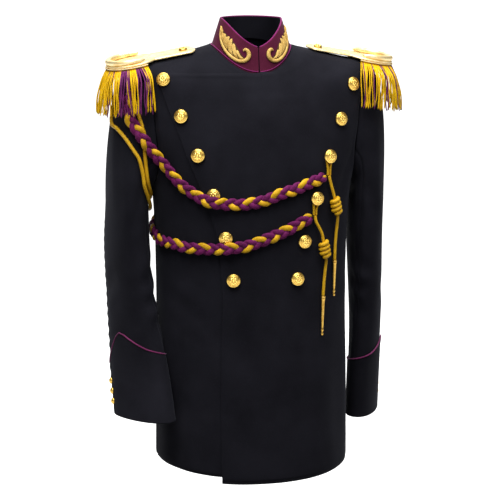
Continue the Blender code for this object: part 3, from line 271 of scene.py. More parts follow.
def smooth_rows(rows, places):
    """Values of a table at fractional rows, on a smooth curve through the rows."""
    table = np.array(rows, float)
    table = np.vstack([2 * table[0] - table[1], table, 2 * table[-1] - table[-2]])
    places = np.clip(np.asarray(places, float), 0, len(rows) - 1)
    first = np.minimum(places.astype(int), len(rows) - 2)
    part = (places - first)[..., None]
    before, start, end, after = (table[first + k] for k in range(4))
    return ((2 * part ** 3 - 3 * part ** 2 + 1) * start
            + (part ** 3 - 2 * part ** 2 + part) * (end - before) / 2
            + (3 * part ** 2 - 2 * part ** 3) * end + (part ** 3 - part ** 2) * (after - start) / 2)


def column(rows, at, key, value):
    """One column of a table against another, on a smooth curve."""
    keys = [getattr(r, key) for r in rows]
    places = np.interp(at, keys, np.arange(len(rows)))
    return smooth_rows([[getattr(r, value)] for r in rows], places)[..., 0]


def signed_power(base, power):
    return np.sign(base) * np.abs(base) ** power


def ring_points(rings, turns):
    """Points of body or collar rings; turns are degrees round the body from the centre front."""
    half_width, front, back_depth, front_z, side_z, back_z, squareness = np.moveaxis(rings, -1, 0)
    across, ahead = np.sin(np.radians(turns)), np.cos(np.radians(turns))
    depth = np.where(ahead > 0, front, back_depth)
    end_z = np.where(ahead > 0, front_z, back_z)
    return np.stack([half_width * signed_power(across, 2 / squareness),
                     -depth * signed_power(ahead, 2 / squareness),
                     end_z + (side_z - end_z) * across ** 2 + 0 * half_width], -1)


def unit(vectors):
    return vectors / np.maximum(np.linalg.norm(vectors, axis=-1, keepdims=True), 1e-9)


def body_points(turns, levels, out=0.0):
    """Points of the coat's outer face, moved out by a distance."""
    turns, levels, out = np.broadcast_arrays(np.asarray(turns, float), levels, out)
    rings = smooth_rows(BODY_RINGS, levels)
    round_it = ring_points(rings, turns + 1) - ring_points(rings, turns - 1)
    up_it = (ring_points(smooth_rows(BODY_RINGS, levels + 0.02), turns)
             - ring_points(smooth_rows(BODY_RINGS, levels - 0.02), turns))
    return ring_points(rings, turns) + unit(np.cross(round_it, up_it)) * out[..., None]


def levels_at(heights, turns):
    """Levels at which the body form reaches given heights."""
    low, high = np.zeros(np.shape(turns)), np.full(np.shape(turns), float(NECK))
    for _ in range(30):
        middle = (low + high) / 2
        below = body_points(turns, middle)[..., 2] < heights
        low, high = np.where(below, middle, low), np.where(below, high, middle)
    return (low + high) / 2


def front_turns(reaches, levels):
    """Turns at which the front of the form lies at given distances from the centre front."""
    rings = smooth_rows(BODY_RINGS, levels)
    return np.degrees(np.arcsin(np.minimum(reaches / rings[..., 0], 1.0) ** (rings[..., 6] / 2)))


def front_place(reach, height):
    """Turn and level of one point on the front, given its distance from the centre and height."""
    turn = np.array(45.0)
    for _ in range(30):
        level = levels_at(height, turn)
        turn = front_turns(abs(reach), level)
    return math.copysign(float(turn), reach), float(level)


def lap_turns(levels):
    """Turns of the lap's front edge at levels below its top corner."""
    turns = np.full(np.shape(levels), 45.0)
    for _ in range(12):
        heights = body_points(turns, levels)[..., 2]
        turns = front_turns(column(LAP_EDGE, heights, "height", "reach"), levels)
    return np.where(levels >= LAP_CORNER[1], LAP_CORNER[0], turns)


def armhole_turns(levels, side="front_turn"):
    """Turns of the side seam, the armhole edge or the shoulder seam at given levels."""
    angles = np.degrees(np.arccos(np.clip((levels - ARMHOLE_MIDDLE) / ARMHOLE_REACH, -1, 1)))
    return column(ARMHOLE, angles, "angle", side)


def compressed(levels, top):
    """Levels of rows under the lap's straight top edge, where rows above the chest close up."""
    low = CHEST - 1
    return np.where(levels <= low, levels, low + (levels - low) * (top - low) / (NECK - low))


def eased(value, start, end):
    part = np.clip((value - start) / np.maximum(end - start, 1e-6), 0, 1)
    return part * part * (3 - 2 * part)


def lift(turns, levels, hidden, side):
    """How far the lapping front stands off the body form, from full lap to none at its side."""
    full = CLOTH + LAP_GAP + LAP_TOP_AIR * eased(levels, CHEST, CHEST + 1.5)
    at_neck = eased(levels, NECK - 1.5, NECK) * eased(turns, 2.0, 16.0)
    return full * (1 - eased(turns, hidden, np.maximum(side, hidden + 0.1))) * (1 - at_neck)


def close_to_edges(count):
    """Places from 0 to 1 with a few extra ones close to both ends, for rounded cloth edges."""
    extra = np.array([0.04, 0.12, 0.26, 0.5])
    even = np.arange(count + 1) / count
    return np.concatenate([[0.0], extra / count, even[1:-1], 1 - extra[::-1] / count, [1.0]])


def edge_distances(grid, closed):
    """Distance of each point of a grid from the grid's nearest edge, along the cloth."""
    down = np.vstack([np.zeros(grid.shape[1]),
                      np.cumsum(np.linalg.norm(np.diff(grid, axis=0), axis=-1), 0)])
    nearest = np.minimum(down, down[-1] - down)
    if not closed:
        steps = np.linalg.norm(np.diff(grid, axis=1), axis=-1)
        over = np.hstack([np.zeros((grid.shape[0], 1)), np.cumsum(steps, 1)])
        nearest = np.minimum(nearest, np.minimum(over, over[:, -1:] - over))
    return nearest


def ridge(distance, place, width, power=2):
    """Height of a soft ridge across it, 1 along its middle line."""
    return np.exp(-((distance - place) / width) ** power)


def quarter_round(part):
    """Height of a rounded edge, from 0 at the edge itself to 1 where part reaches 1."""
    return np.sqrt(np.clip(1 - (1 - np.minimum(part, 1)) ** 2, 0, 1))


# Folds of the cloth: a soft trough (or, if the depth is below 0, a ridge) along a line of points,
# deepest at its middle, with a low ridge along each flank.
Fold = namedtuple("Fold", "line depth width")
FLANK_RISE, FLANK_PLACE, FLANK_WIDTH = 0.35, 1.7, 0.8      # shares of the trough's depth and width


def folded(points, folds):
    """How far each point moves out over all the folds near it."""
    flat = points.reshape(-1, 3)
    moved = np.zeros(len(flat))
    for fold in folds:
        line = smooth_rows(fold.line, np.linspace(0, len(fold.line) - 1, 24))
        away = np.linalg.norm(flat[:, None, :] - line[None, :, :], axis=-1)
        nearest = away.argmin(1)
        across = away[np.arange(len(flat)), nearest] / fold.width
        along = np.sin(np.pi * (nearest + 0.5) / len(line)) ** 0.7
        flank = FLANK_RISE * ridge(across, FLANK_PLACE, FLANK_WIDTH)
        moved += fold.depth * along * (flank - np.exp(-across ** 2))
    return moved.reshape(points.shape[:-1])


def quads_of(ids, closed=True):
    """Faces between the rows of a grid of point numbers, which may close round on itself."""
    if closed:
        ids = np.hstack([ids, ids[:, :1]])
    return np.stack([ids[:-1, :-1], ids[:-1, 1:], ids[1:, 1:], ids[1:, :-1]], -1).reshape(-1, 4)


def double_sheet(name, outer, inner, closed, finish):
    """Solid sheet between two grids of points that meet along its edges."""
    rows, columns = outer.shape[:2]
    on_edge = np.zeros((rows, columns), bool)
    on_edge[[0, -1]] = True
    if not closed:
        on_edge[:, [0, -1]] = True
    first = np.arange(rows * columns).reshape(rows, columns)
    kept = np.cumsum(~on_edge.ravel()).reshape(rows, columns) - 1 + rows * columns
    second = np.where(on_edge, first, kept)
    points = np.vstack([outer.reshape(-1, 3), inner.reshape(-1, 3)[~on_edge.ravel()]])
    faces = np.vstack([quads_of(first, closed), quads_of(second, closed)[:, ::-1]])
    return built(name, points.tolist(), faces.tolist(), [finish])


SEAM_SWELL = 0.0008         # the turned-in cloth beside a seam swells up
SWELL_PLACE = 0.0085
SWELL_WIDTH = 0.0050
SEAM_DIP = 0.0006           # and the seam itself lies below it
DIP_WIDTH = 0.0028


def cloth_piece(name, grid, wall, folds, finish, closed=False, seams=(), mirrored=False):
    """Double sheet of cloth whose outer face lies on a grid of points, with rounded edges. seams
    names the sewn sides of the grid (left, right, first or last row), where the cloth dips in."""
    if mirrored:
        grid = (grid * (-1, 1, 1))[:, ::-1]
    over = np.gradient(grid, axis=1)
    if closed:
        over = np.gradient(np.concatenate([grid[:, -1:], grid, grid[:, :1]], 1), axis=1)[:, 1:-1]
    normals = unit(np.cross(over, np.gradient(grid, axis=0)))
    moved = folded(grid, folds)
    over_at = np.cumsum(np.linalg.norm(np.diff(grid, axis=1, prepend=grid[:, :1]), axis=-1), 1)
    down_at = np.cumsum(np.linalg.norm(np.diff(grid, axis=0, prepend=grid[:1]), axis=-1), 0)
    to_side = {"left": over_at, "right": over_at[:, -1:] - over_at,
               "first": down_at, "last": down_at[-1] - down_at}
    swapped = {"left": "right", "right": "left", "first": "first", "last": "last"}
    for side in seams:
        away = to_side[swapped[side] if mirrored else side]
        moved = moved + (SEAM_SWELL * ridge(away, SWELL_PLACE, SWELL_WIDTH)
                         - SEAM_DIP * ridge(away, 0, DIP_WIDTH))
    half = wall / 2
    round_off = quarter_round(edge_distances(grid, closed) / half) * half
    middle = grid + normals * (moved - half)[..., None]
    outer, inner = middle + normals * round_off[..., None], middle - normals * round_off[..., None]
    return double_sheet(name, outer, inner, closed, finish)


def wool(name, deep, lit, sheen):
    """Felted wool: a short nap in fine flecks over a faint twill, a little uneven in its colour."""
    material, shade = new_finish(name, {"Specular IOR Level": 0.04, "Sheen Weight": sheen,
                                        "Sheen Roughness": 0.45, "Sheen Tint": (0.80, 0.84, 1.0, 1.0)})
    nap = shade.noise(1500.0, 3.0)
    drift = shade.noise(16.0, 3.0)
    flecks = shade.noise(520.0, 2.0).between(0.60, 0.78)
    place = shade.node("ShaderNodeTexCoord", {}, {}, 3)
    twill = shade.node("ShaderNodeTexWave", {"bands_direction": "DIAGONAL"},
                       {"Vector": place, "Scale": 320.0, "Distortion": 1.5, "Detail": 1.0}, 1)
    tone = (0.55 * drift + 0.45 * nap).between(0.34, 0.66)
    colour = (flecks * 0.35).blend(tone.blend(deep, lit), tuple(1.7 * c for c in lit))
    feed(material, {"Base Color": colour, "Roughness": nap.between(0.2, 0.9) * 0.14 + 0.78,
                    "Normal": (0.75 * nap + 0.25 * twill).relief(0.00022)})
    return material


NAVY_WOOL = wool("navy_wool_cloth", (0.0072, 0.0070, 0.0098), (0.0145, 0.0142, 0.0196), 0.03)

LAP_CORNER = front_place(LAP_EDGE[-1].reach, LAP_TOP_Z)
BODY_ROWS = np.concatenate([np.linspace(0, UNDERARM, 68)[:-1],
                            ARMHOLE_MIDDLE - ARMHOLE_REACH * np.cos(np.linspace(0, math.pi, 38))[:-1],
                            np.linspace(SHOULDER, NECK, 30)])
# Folds over the body: depth, width, and turns and heights along each.
BODY_FOLDS = [
    (0.0024, 0.013, ((64, -0.150), (53, -0.215), (43, -0.300))),
    (0.0028, 0.014, ((-64, -0.160), (-54, -0.250), (-46, -0.350), (-43, -0.450))),
    (0.0016, 0.016, ((74, -0.385), (52, -0.420), (34, -0.435))),
    (0.0024, 0.015, ((-74, -0.400), (-52, -0.440), (-32, -0.470))),
    (0.0014, 0.013, ((-70, -0.450), (-50, -0.475), (-34, -0.515))),
    (0.0028, 0.022, ((50, -0.490), (51, -0.600), (53, -0.735))),
    (0.0012, 0.020, ((20, -0.500), (19, -0.620), (17, -0.740))),
    (0.0032, 0.022, ((-52, -0.520), (-54, -0.620), (-56, -0.735))),
    (0.0020, 0.016, ((-37, -0.480), (-38, -0.600), (-39, -0.735))),
    (0.0010, 0.018, ((24, -0.075), (33, -0.130), (37, -0.210))),
    (0.0009, 0.016, ((-14, -0.070), (-24, -0.140), (-30, -0.200))),
    (0.0012, 0.024, ((2, -0.120), (4, -0.210), (3, -0.300))),
    (0.0022, 0.030, ((180, -0.290), (180, -0.380), (180, -0.470))),
    (0.0024, 0.014, ((124, -0.190), (146, -0.285), (165, -0.370))),
    (0.0019, 0.013, ((-126, -0.210), (-148, -0.300), (-167, -0.365))),
    (0.0022, 0.012, ((104, -0.430), (138, -0.452), (172, -0.440))),
    (0.0018, 0.013, ((-106, -0.445), (-140, -0.434), (-170, -0.458))),
    (0.0030, 0.022, ((150, -0.500), (151, -0.610), (152, -0.728))),
    (0.0026, 0.020, ((-147, -0.520), (-149, -0.620), (-151, -0.728))),
    (0.0020, 0.018, ((118, -0.540), (119, -0.630), (120, -0.728))),
    (0.0012, 0.020, ((156, -0.050), (150, -0.110), (144, -0.180))),
    (0.0011, 0.018, ((-158, -0.045), (-150, -0.120), (-140, -0.170))),
]


def on_body(turn, height):
    turn = np.array(float(turn))
    return body_points(turn, levels_at(height, turn))


body_folds = [Fold([on_body(*spot) for spot in spots], depth, width) for depth, width, spots in BODY_FOLDS]


def seam_turns(levels, turns, distance):
    """Degrees that move points on the body form by a distance round it."""
    steps = np.linalg.norm(body_points(turns + 0.5, levels) - body_points(turns - 0.5, levels), axis=-1)
    return distance / np.maximum(steps, 0.0005)


def front_grid(levels, lapping):
    """Points of one front, laid out as the lapping left front."""
    edge = lap_turns(compressed(levels, LAP_CORNER[1]))[:, None]
    hidden = lap_turns(levels)[:, None]
    end = armhole_turns(levels)
    end = (end - seam_turns(levels, end, SEAM / 2))[:, None]
    over_lap = -edge * (1 - close_to_edges(44)[None, :-1])
    over_body = np.hstack([hidden * np.linspace(0, 1, 45)[None, :-1],
                           hidden + (end - hidden) * close_to_edges(34)[None, :]])
    top = LAP_TOP_Z if lapping else UNDER_LAP_TOP_Z
    lap_levels = compressed(np.broadcast_to(levels[:, None], over_lap.shape), levels_at(top, over_lap))
    turns = np.hstack([over_lap, over_body])
    at = np.hstack([lap_levels, np.broadcast_to(levels[:, None], over_body.shape)])
    return body_points(turns, at, lift(turns, at, hidden + 2.0, end) if lapping else 0.0)


def back_grid(levels):
    start = armhole_turns(levels, "back_turn")
    start = (start + seam_turns(levels, start, SEAM / 2))[:, None]
    centre = np.full(levels.shape, 180.0)
    end = (180.0 - seam_turns(levels, centre, SEAM / 2))[:, None]
    turns = start + (end - start) * close_to_edges(70)[None, :]
    return body_points(turns, np.broadcast_to(levels[:, None], turns.shape))


def dressed(piece, node, slot):
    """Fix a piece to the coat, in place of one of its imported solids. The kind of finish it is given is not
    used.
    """
    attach(piece, "root")
    if node:
        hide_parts(node)
    return piece


# The cut of each panel laid flat: width, length and area.
BODY_CUTS = {
    "front_left": (0.36, 0.76, 0.244), "front_right": (0.36, 0.75, 0.235),
    "back_left": (0.25, 0.75, 0.168), "back_right": (0.25, 0.74, 0.166),
}
right_rows = np.maximum(BODY_ROWS, RIGHT_HEM_LEVEL + 0.02 * BODY_ROWS / UNDERARM)
body_panels = {
    "front_left": (front_grid(BODY_ROWS, True), False, ("right", "last")),
    "front_right": (front_grid(right_rows, False), True, ("right", "last")),
    "back_left": (back_grid(BODY_ROWS), False, ("left", "right", "last")),
    "back_right": (back_grid(right_rows), True, ("left", "right", "last")),
}
for name, (grid, mirrored, seams) in body_panels.items():
    panel = cloth_piece(name + "_cloth", grid, CLOTH, body_folds, NAVY_WOOL, seams=seams, mirrored=mirrored)
    dressed(panel, name, "navy_wool")
    width, length, area = BODY_CUTS[name]


# Sleeves ----------------------------------------------------------------------------------------
# Each sleeve is a top and an under piece of the same wool, sewn to each other along the front and
# the back of the arm and set into the armhole. They hang slightly bent, with creases at the elbow
# and under the armhole, and a pressed line along the back seam.
SleeveRing = namedtuple("SleeveRing", "z out back broad narrow turn_in")
SLEEVE_RINGS = {
    "left": [
        SleeveRing(-0.270, 0.2075, 0.010, 0.0760, 0.0315, 5.0),
        SleeveRing(-0.345, 0.2100, 0.014, 0.0740, 0.0310, 9.0),
        SleeveRing(-0.420, 0.2125, 0.016, 0.0700, 0.0300, 12.0),
        SleeveRing(-0.500, 0.2150, 0.020, 0.0660, 0.0285, 16.0),
        SleeveRing(-0.585, 0.2145, 0.025, 0.0630, 0.0270, 21.0),
        SleeveRing(-0.667, 0.2135, 0.030, 0.0610, 0.0260, 25.0),
    ],
    "right": [
        SleeveRing(-0.270, 0.2170, 0.010, 0.0770, 0.0320, 6.0),
        SleeveRing(-0.345, 0.2176, 0.012, 0.0740, 0.0315, 12.0),
        SleeveRing(-0.415, 0.2140, 0.004, 0.0700, 0.0310, 17.0),
        SleeveRing(-0.485, 0.2095, -0.012, 0.0660, 0.0305, 25.0),
        SleeveRing(-0.560, 0.2045, -0.038, 0.0630, 0.0305, 35.0),
        SleeveRing(-0.631, 0.2005, -0.068, 0.0605, 0.0305, 42.0),
    ],
}
SLEEVE_SEAM = 0.0002
ARMHOLE_CENTRE = np.array((0.196, 0.0, -0.13))
FORE_SEAM_TURN = 120.0      # angles round the sleeve of the seams along its front and its back
HIND_SEAM_TURN = -56.6


def armhole_points(turns):
    """Points of the armhole edge; turn 0 is the shoulder end, 90 front, 180 underarm, 270 back."""
    middle, reach = (UNDERARM + SHOULDER) / 2, (SHOULDER - UNDERARM) / 2
    levels = middle + reach * np.cos(np.radians(turns))
    sides = np.where(np.mod(turns, 360) > 180, armhole_turns(levels, "back_turn"), armhole_turns(levels))
    return body_points(sides, levels)


def sleeve_ring_points(side, steps, turns):
    """Points of the hanging part of a sleeve; steps count the rows of its table."""
    z, out, aft, broad, narrow, turn_in = np.moveaxis(smooth_rows(SLEEVE_RINGS[side], steps), -1, 0)
    twist = np.radians(turn_in)
    angle = np.radians(turns)
    across = signed_power(np.cos(angle), 0.92) * narrow
    along = signed_power(np.sin(angle), 0.92) * broad
    return np.stack([out + np.cos(twist) * across - np.sin(twist) * along,
                     aft - np.sin(twist) * across - np.cos(twist) * along, z + 0 * across], -1)


def sleeve_points(side, places, turns, out=0.0):
    """Points of a sleeve's outer face on the +X side, moved out by a distance. places run 0 to 1
    over the sleeve head and then count the rows of the sleeve table."""
    places, turns, out = np.broadcast_arrays(np.asarray(places, float), np.asarray(turns, float), out)

    def skin(t, turn):
        start = armhole_points(turn)
        start = start + unit(ARMHOLE_CENTRE - start) * SEAM
        head_end = sleeve_ring_points(side, np.zeros(turn.shape), turn)
        top = (1 + np.cos(np.radians(turn))) / 2
        leave = np.stack([0.93 + 0 * top, 0 * top, -0.35 - 0.5 * (1 - top)], -1)
        leave = leave * (0.045 + 0.095 * top)[..., None]
        arrive = np.stack([0 * top, 0 * top, -(0.035 + 0.24 * top)], -1)
        p = np.clip(t, 0, 1)[..., None]
        head = ((2 * p ** 3 - 3 * p ** 2 + 1) * start + (p ** 3 - 2 * p ** 2 + p) * leave
                + (3 * p ** 2 - 2 * p ** 3) * head_end + (p ** 3 - p ** 2) * arrive)
        return np.where((t >= 1)[..., None], sleeve_ring_points(side, np.maximum(t - 1, 0), turn), head)

    last = float(len(SLEEVE_RINGS[side]))
    round_it = skin(places, turns + 3) - skin(places, turns - 3)
    down_it = skin(np.minimum(places + 0.03, last), turns) - skin(np.maximum(places - 0.03, 0), turns)
    return skin(places, turns) + unit(np.cross(round_it, down_it)) * out[..., None]


def sleeve_places(side, heights):
    """Places on a sleeve at heights above its lower end."""
    rows = SLEEVE_RINGS[side]
    fine = np.linspace(0, len(rows) - 1, 400)
    z = smooth_rows(rows, fine)[:, 0]
    return 1.0 + np.interp(-(np.asarray(heights) + rows[-1].z), -z, fine)


# Folds of the sleeves, seen on the +X side: depth, width, and places and turns along each.
SLEEVE_FOLDS = {
    "left": [
        (0.0030, 0.012, ((0.45, 118), (0.95, 96), (1.5, 74))),
        (0.0020, 0.012, ((0.70, 142), (1.2, 122), (1.8, 104))),
        (0.0024, 0.013, ((2.1, 150), (2.5, 112), (2.7, 74))),
        (0.0030, 0.012, ((2.8, 155), (3.0, 118), (3.1, 78))),
        (0.0022, 0.012, ((3.3, 150), (3.5, 116), (3.9, 82))),
        (0.0016, 0.016, ((3.0, 20), (3.3, -10), (3.4, -40))),
        (-0.0018, 0.006, ((1.2, -57), (3.4, -57), (5.9, -57))),
        (0.0014, 0.020, ((4.2, 52), (5.0, 48), (5.8, 46))),
        (0.0016, 0.014, ((0.30, 40), (0.62, 44), (1.1, 50))),
        (0.0018, 0.015, ((0.35, 300), (0.8, 286), (1.4, 276))),
        (0.0024, 0.014, ((2.5, 215), (3.0, 245), (3.3, 280))),
    ],
    "right": [
        (0.0032, 0.012, ((0.42, 116), (0.95, 98), (1.6, 78))),
        (0.0022, 0.012, ((0.75, 140), (1.3, 124), (1.9, 108))),
        (0.0028, 0.013, ((2.2, 152), (2.6, 116), (2.9, 76))),
        (0.0034, 0.012, ((2.9, 150), (3.2, 114), (3.3, 72))),
        (0.0022, 0.013, ((3.6, 148), (3.8, 110), (4.2, 76))),
        (0.0020, 0.016, ((2.6, 16), (3.0, -14), (3.2, -42))),
        (-0.0020, 0.006, ((0.9, -57), (3.2, -57), (5.9, -57))),
        (0.0012, 0.022, ((4.4, 40), (5.2, 36), (5.8, 34))),
        (0.0014, 0.014, ((0.30, 34), (0.60, 38), (1.0, 42))),
        (0.0020, 0.015, ((0.35, 296), (0.8, 284), (1.5, 272))),
        (0.0026, 0.014, ((2.4, 212), (2.9, 240), (3.2, 278))),
    ],
}
SLEEVE_ROWS = np.concatenate([[0, 0.003, 0.008, 0.02], np.linspace(0.045, 1, 38)[:-1],
                              np.linspace(1, 6, 84)[:-1], [5.985, 5.995, 6.0]])
# The cut of each sleeve piece laid flat: width, length and area.
SLEEVE_CUTS = {
    ("top", "left"): (0.18, 0.65, 0.099), ("top", "right"): (0.18, 0.64, 0.097),
    ("under", "left"): (0.15, 0.61, 0.081), ("under", "right"): (0.15, 0.60, 0.078),
}
SIDES = (("left", 1), ("right", -1))       # the two sides of the coat, and the sign of X there
sleeve_folds = {}
for side, sign in SIDES:
    sleeve_folds[side] = [Fold([sleeve_points(side, *spot) * (sign, 1, 1) for spot in spots], depth, width)
                          for depth, width, spots in SLEEVE_FOLDS[side]]
    for part, first, last in (("top", HIND_SEAM_TURN, FORE_SEAM_TURN),
                              ("under", FORE_SEAM_TURN, 360 + HIND_SEAM_TURN)):
        ends = []
        for turn, way in ((first, 1), (last, -1)):
            step = sleeve_points(side, SLEEVE_ROWS, turn + 1) - sleeve_points(side, SLEEVE_ROWS, turn - 1)
            stretch = np.linalg.norm(step, axis=-1) / 2
            ends.append((turn + way * (SLEEVE_SEAM / 2 / stretch))[:, None])
        turns = ends[0] + (ends[1] - ends[0]) * close_to_edges(64)[None, :]
        grid = sleeve_points(side, np.broadcast_to(SLEEVE_ROWS[:, None], turns.shape), turns)
        sleeve = cloth_piece(f"sleeve_{part}_{side}_cloth", grid, CLOTH, sleeve_folds[side], NAVY_WOOL,
                             seams=("left", "right", "first"), mirrored=side == "right")
        dressed(sleeve, f"sleeve_{part}_{side}", "navy_wool")
        width, length, area = SLEEVE_CUTS[part, side]


# Cuffs ------------------------------------------------------------------------------------------
# A pointed cuff of the same wool turned up over each sleeve end, with a bead of plum cord sewn
# along its upper edge.
CUFF_PLY = 0.0014
CUFF_AIR = 0.0004
PIPING_RADIUS = 0.0013
PIPING_RISE = 0.0016        # piping's middle above the cuff edge that it finishes
BEAD_STEP = 0.0012
CUFF_START, CUFF_END = -57, 303        # angles round the sleeve where the cuff's back seam lies
POINT_SOFTENING = 0.0035    # the cuff's point is cut off round by this much
CuffEdge = namedtuple("CuffEdge", "turn height")
CUFF_EDGE = [
    CuffEdge(-57, 0.080), CuffEdge(-37, 0.099), CuffEdge(-18, 0.121), CuffEdge(0, 0.143),
    CuffEdge(18, 0.134), CuffEdge(37, 0.126), CuffEdge(57, 0.119), CuffEdge(101, 0.110),
    CuffEdge(180, 0.096), CuffEdge(303, 0.080),
]


def cuff_heights(turns):
    """Height of the cuff's pointed upper edge over the sleeve end, at angles round the sleeve."""
    turns = np.where(turns > CUFF_END, turns - 360, turns)
    straight = np.interp(turns, [c.turn for c in CUFF_EDGE], [c.height for c in CUFF_EDGE])
    return straight - POINT_SOFTENING * ridge(turns, 0, 7.0)


def run_along(points):
    """Length along a line of points up to each of them."""
    return np.concatenate([[0.0], np.cumsum(np.linalg.norm(np.diff(points, axis=0), axis=1))])


def rope_mesh(name, ropes, finishes):
    """Mesh of twisted cords. Each rope gives its points, the directions of its width and its
    thickness, its half width and half thickness, its plies, its length of twist, the depth of its
    grooves, its number of sides and its finish."""
    points, faces, marks = [], [], []
    base = 0
    for rope in ropes:
        count = len(rope.points)
        angle = np.linspace(0, 2 * math.pi, rope.sides, endpoint=False)[None, :]
        turned = 2 * math.pi * run_along(rope.points)[:, None] / rope.twist * rope.plies
        groove = np.abs(np.sin((angle * rope.plies - turned) / 2))
        size = 1 - rope.groove * (1 - groove ** 0.7)
        rounded = np.ones((count, 1)) if rope.ends is None else rope.ends[:, None]
        ring = (rope.points[:, None, :]
                + rope.across[:, None, :] * (rope.wide * rounded * size * np.cos(angle))[..., None]
                + rope.outward[:, None, :] * (rope.thick * rounded * size * np.sin(angle))[..., None])
        ids = base + np.arange(count * rope.sides).reshape(count, rope.sides)
        quads = quads_of(ids)
        faces += quads.tolist() + [ids[0][::-1].tolist(), ids[-1].tolist()]
        marks += [rope.finish] * (len(quads) + 2)
        points.append(ring.reshape(-1, 3))
        base += count * rope.sides
    made = built(name, np.vstack(points).tolist(), faces, finishes)
    made.data.polygons.foreach_set("material_index", marks)
    return made


Rope = namedtuple("Rope", "points across outward wide thick plies twist groove sides finish ends",
                  defaults=(0, None))


def along_route(rows, spacing):
    """Even points on a smooth curve through a route's rows, which may carry further values."""
    fine = smooth_rows(rows, np.linspace(0, len(rows) - 1, 40 * (len(rows) - 1) + 1))
    run = run_along(fine[:, :3])
    wanted = np.linspace(0, run[-1], max(2, round(run[-1] / spacing)) + 1)
    return np.stack([np.interp(wanted, run, values) for values in fine.T], -1)


def carried_frame(points):
    """Directions across and out of a route, carried along it without turning round it."""
    ahead = unit(np.gradient(points, axis=0))
    outward = np.array((0.0, -1.0, 0.2))
    rows = []
    for tangent in ahead:
        outward = unit(outward - tangent * np.dot(outward, tangent))
        rows.append(outward)
    return np.cross(np.array(rows), ahead), np.array(rows)


def round_rope(points, radius, plies, twist, groove, sides=10, ends=None):
    """Round cord along a line of points."""
    across, outward = carried_frame(points)
    return Rope(points, across, outward, radius, radius, plies, twist, groove, sides, 0, ends)


def piping(name, line, finish):
    """Bead of fine two-ply cord sewn along an edge."""
    bead = round_rope(along_route(line, BEAD_STEP), PIPING_RADIUS, 2, 0.0045, 0.10)
    return rope_mesh(name, [bead], [finish])


PLUM_PIPING = wool("plum_piping_cord", (0.130, 0.016, 0.070), (0.235, 0.036, 0.130), 0.25)
cuff_turns = np.linspace(CUFF_START, CUFF_END, 181)[:-1]
cuff_rows = close_to_edges(22)[::-1]
for side, sign in SIDES:
    heights = 0.0005 + cuff_rows[:, None] * (cuff_heights(cuff_turns)[None, :] - 0.0005)
    turns = np.broadcast_to(cuff_turns[None, :], heights.shape)
    grid = sleeve_points(side, sleeve_places(side, heights), turns, SEAM + CUFF_PLY + CUFF_AIR)
    cuff = cloth_piece("cuff_" + side + "_cloth", grid, CUFF_PLY, sleeve_folds[side], NAVY_WOOL, closed=True,
                       mirrored=side == "right")
    dressed(cuff, "cuff_" + side, "navy_wool")
    around = np.append(cuff_turns, cuff_turns[0] + 360)
    bead = sleeve_points(side, sleeve_places(side, cuff_heights(around) + PIPING_RISE), around,
                         PIPING_RADIUS + SEAM + CUFF_AIR) * (sign, 1, 1)
    dressed(piping("cuff_piping_" + side + "_bead", bead, PLUM_PIPING), "cuff_piping_" + side, "plum_wool")


# Collar -----------------------------------------------------------------------------------------
# A stand collar of plum cloth over an inner ply of the navy, stiff enough to stand up by itself
# and meeting edge to edge at the centre front. Brighter cord is sewn along its top edge and into
# the seam at its base.
COLLAR_TOP = BodyRing(0.0528, 0.0655, 0.0520, 0.0000, 0.0465, 0.0475, 2.0)
COLLAR_GAP_TURN = 0.6       # half the opening between the collar's front ends, in degrees
COLLAR_OUT = 0.0004         # the collar stands this far proud of the neck seam
COLLAR_SEAT = 0.0008        # and this far above it
COLLAR_PLY = 0.0014
FRONT_RAKE = 0.014          # its top edge runs up from the front in a V
COLLAR_FOOT = -0.075        # share of its height sewn in under the neck seam
TOP_BEAD_TURN = 2.5         # turns at which the beads on its top edge and at its base start
TOP_BEAD_RISE = 0.0006
BASE_BEAD_TURN = 1.5
BASE_BEAD_RADIUS = 0.0009
BASE_BEAD_RISE = 0.0008


def collar_points(turns, parts, out=0.0):
    """Points of the collar's outer face; parts run from 0 at the neck seam to 1 at the top edge."""
    turns, parts, out = np.broadcast_arrays(np.asarray(turns, float), np.asarray(parts, float), out)
    foot, top = np.array(BODY_RINGS[NECK]), np.array(COLLAR_TOP)

    def skin(part, turn):
        rings = foot + (top - foot) * part[..., None]
        across = np.abs(np.sin(np.radians(turn)))
        rake = np.where(np.cos(np.radians(turn)) > 0, 1.0, 0.0) * FRONT_RAKE * (across - across ** 2)
        raised = COLLAR_SEAT * (1 - part) + rake * part
        return ring_points(rings, turn) + np.stack([0 * raised, 0 * raised, raised], -1)

    round_it = skin(parts, turns + 1) - skin(parts, turns - 1)
    up_it = skin(parts * 0 + 1, turns) - skin(parts * 0, turns)
    return skin(parts, turns) + unit(np.cross(round_it, up_it)) * out[..., None]


PLUM_CLOTH = wool("plum_collar_cloth", (0.064, 0.0075, 0.022), (0.128, 0.018, 0.047), 0.06)
PLUM_BEAD = wool("plum_bead_cord", (0.150, 0.012, 0.085), (0.290, 0.030, 0.165), 0.15)
collar_turns = COLLAR_GAP_TURN + (360 - 2 * COLLAR_GAP_TURN) * close_to_edges(150)[None, :]
collar_parts = COLLAR_FOOT + (1 - COLLAR_FOOT) * close_to_edges(20)[:, None] + 0 * collar_turns
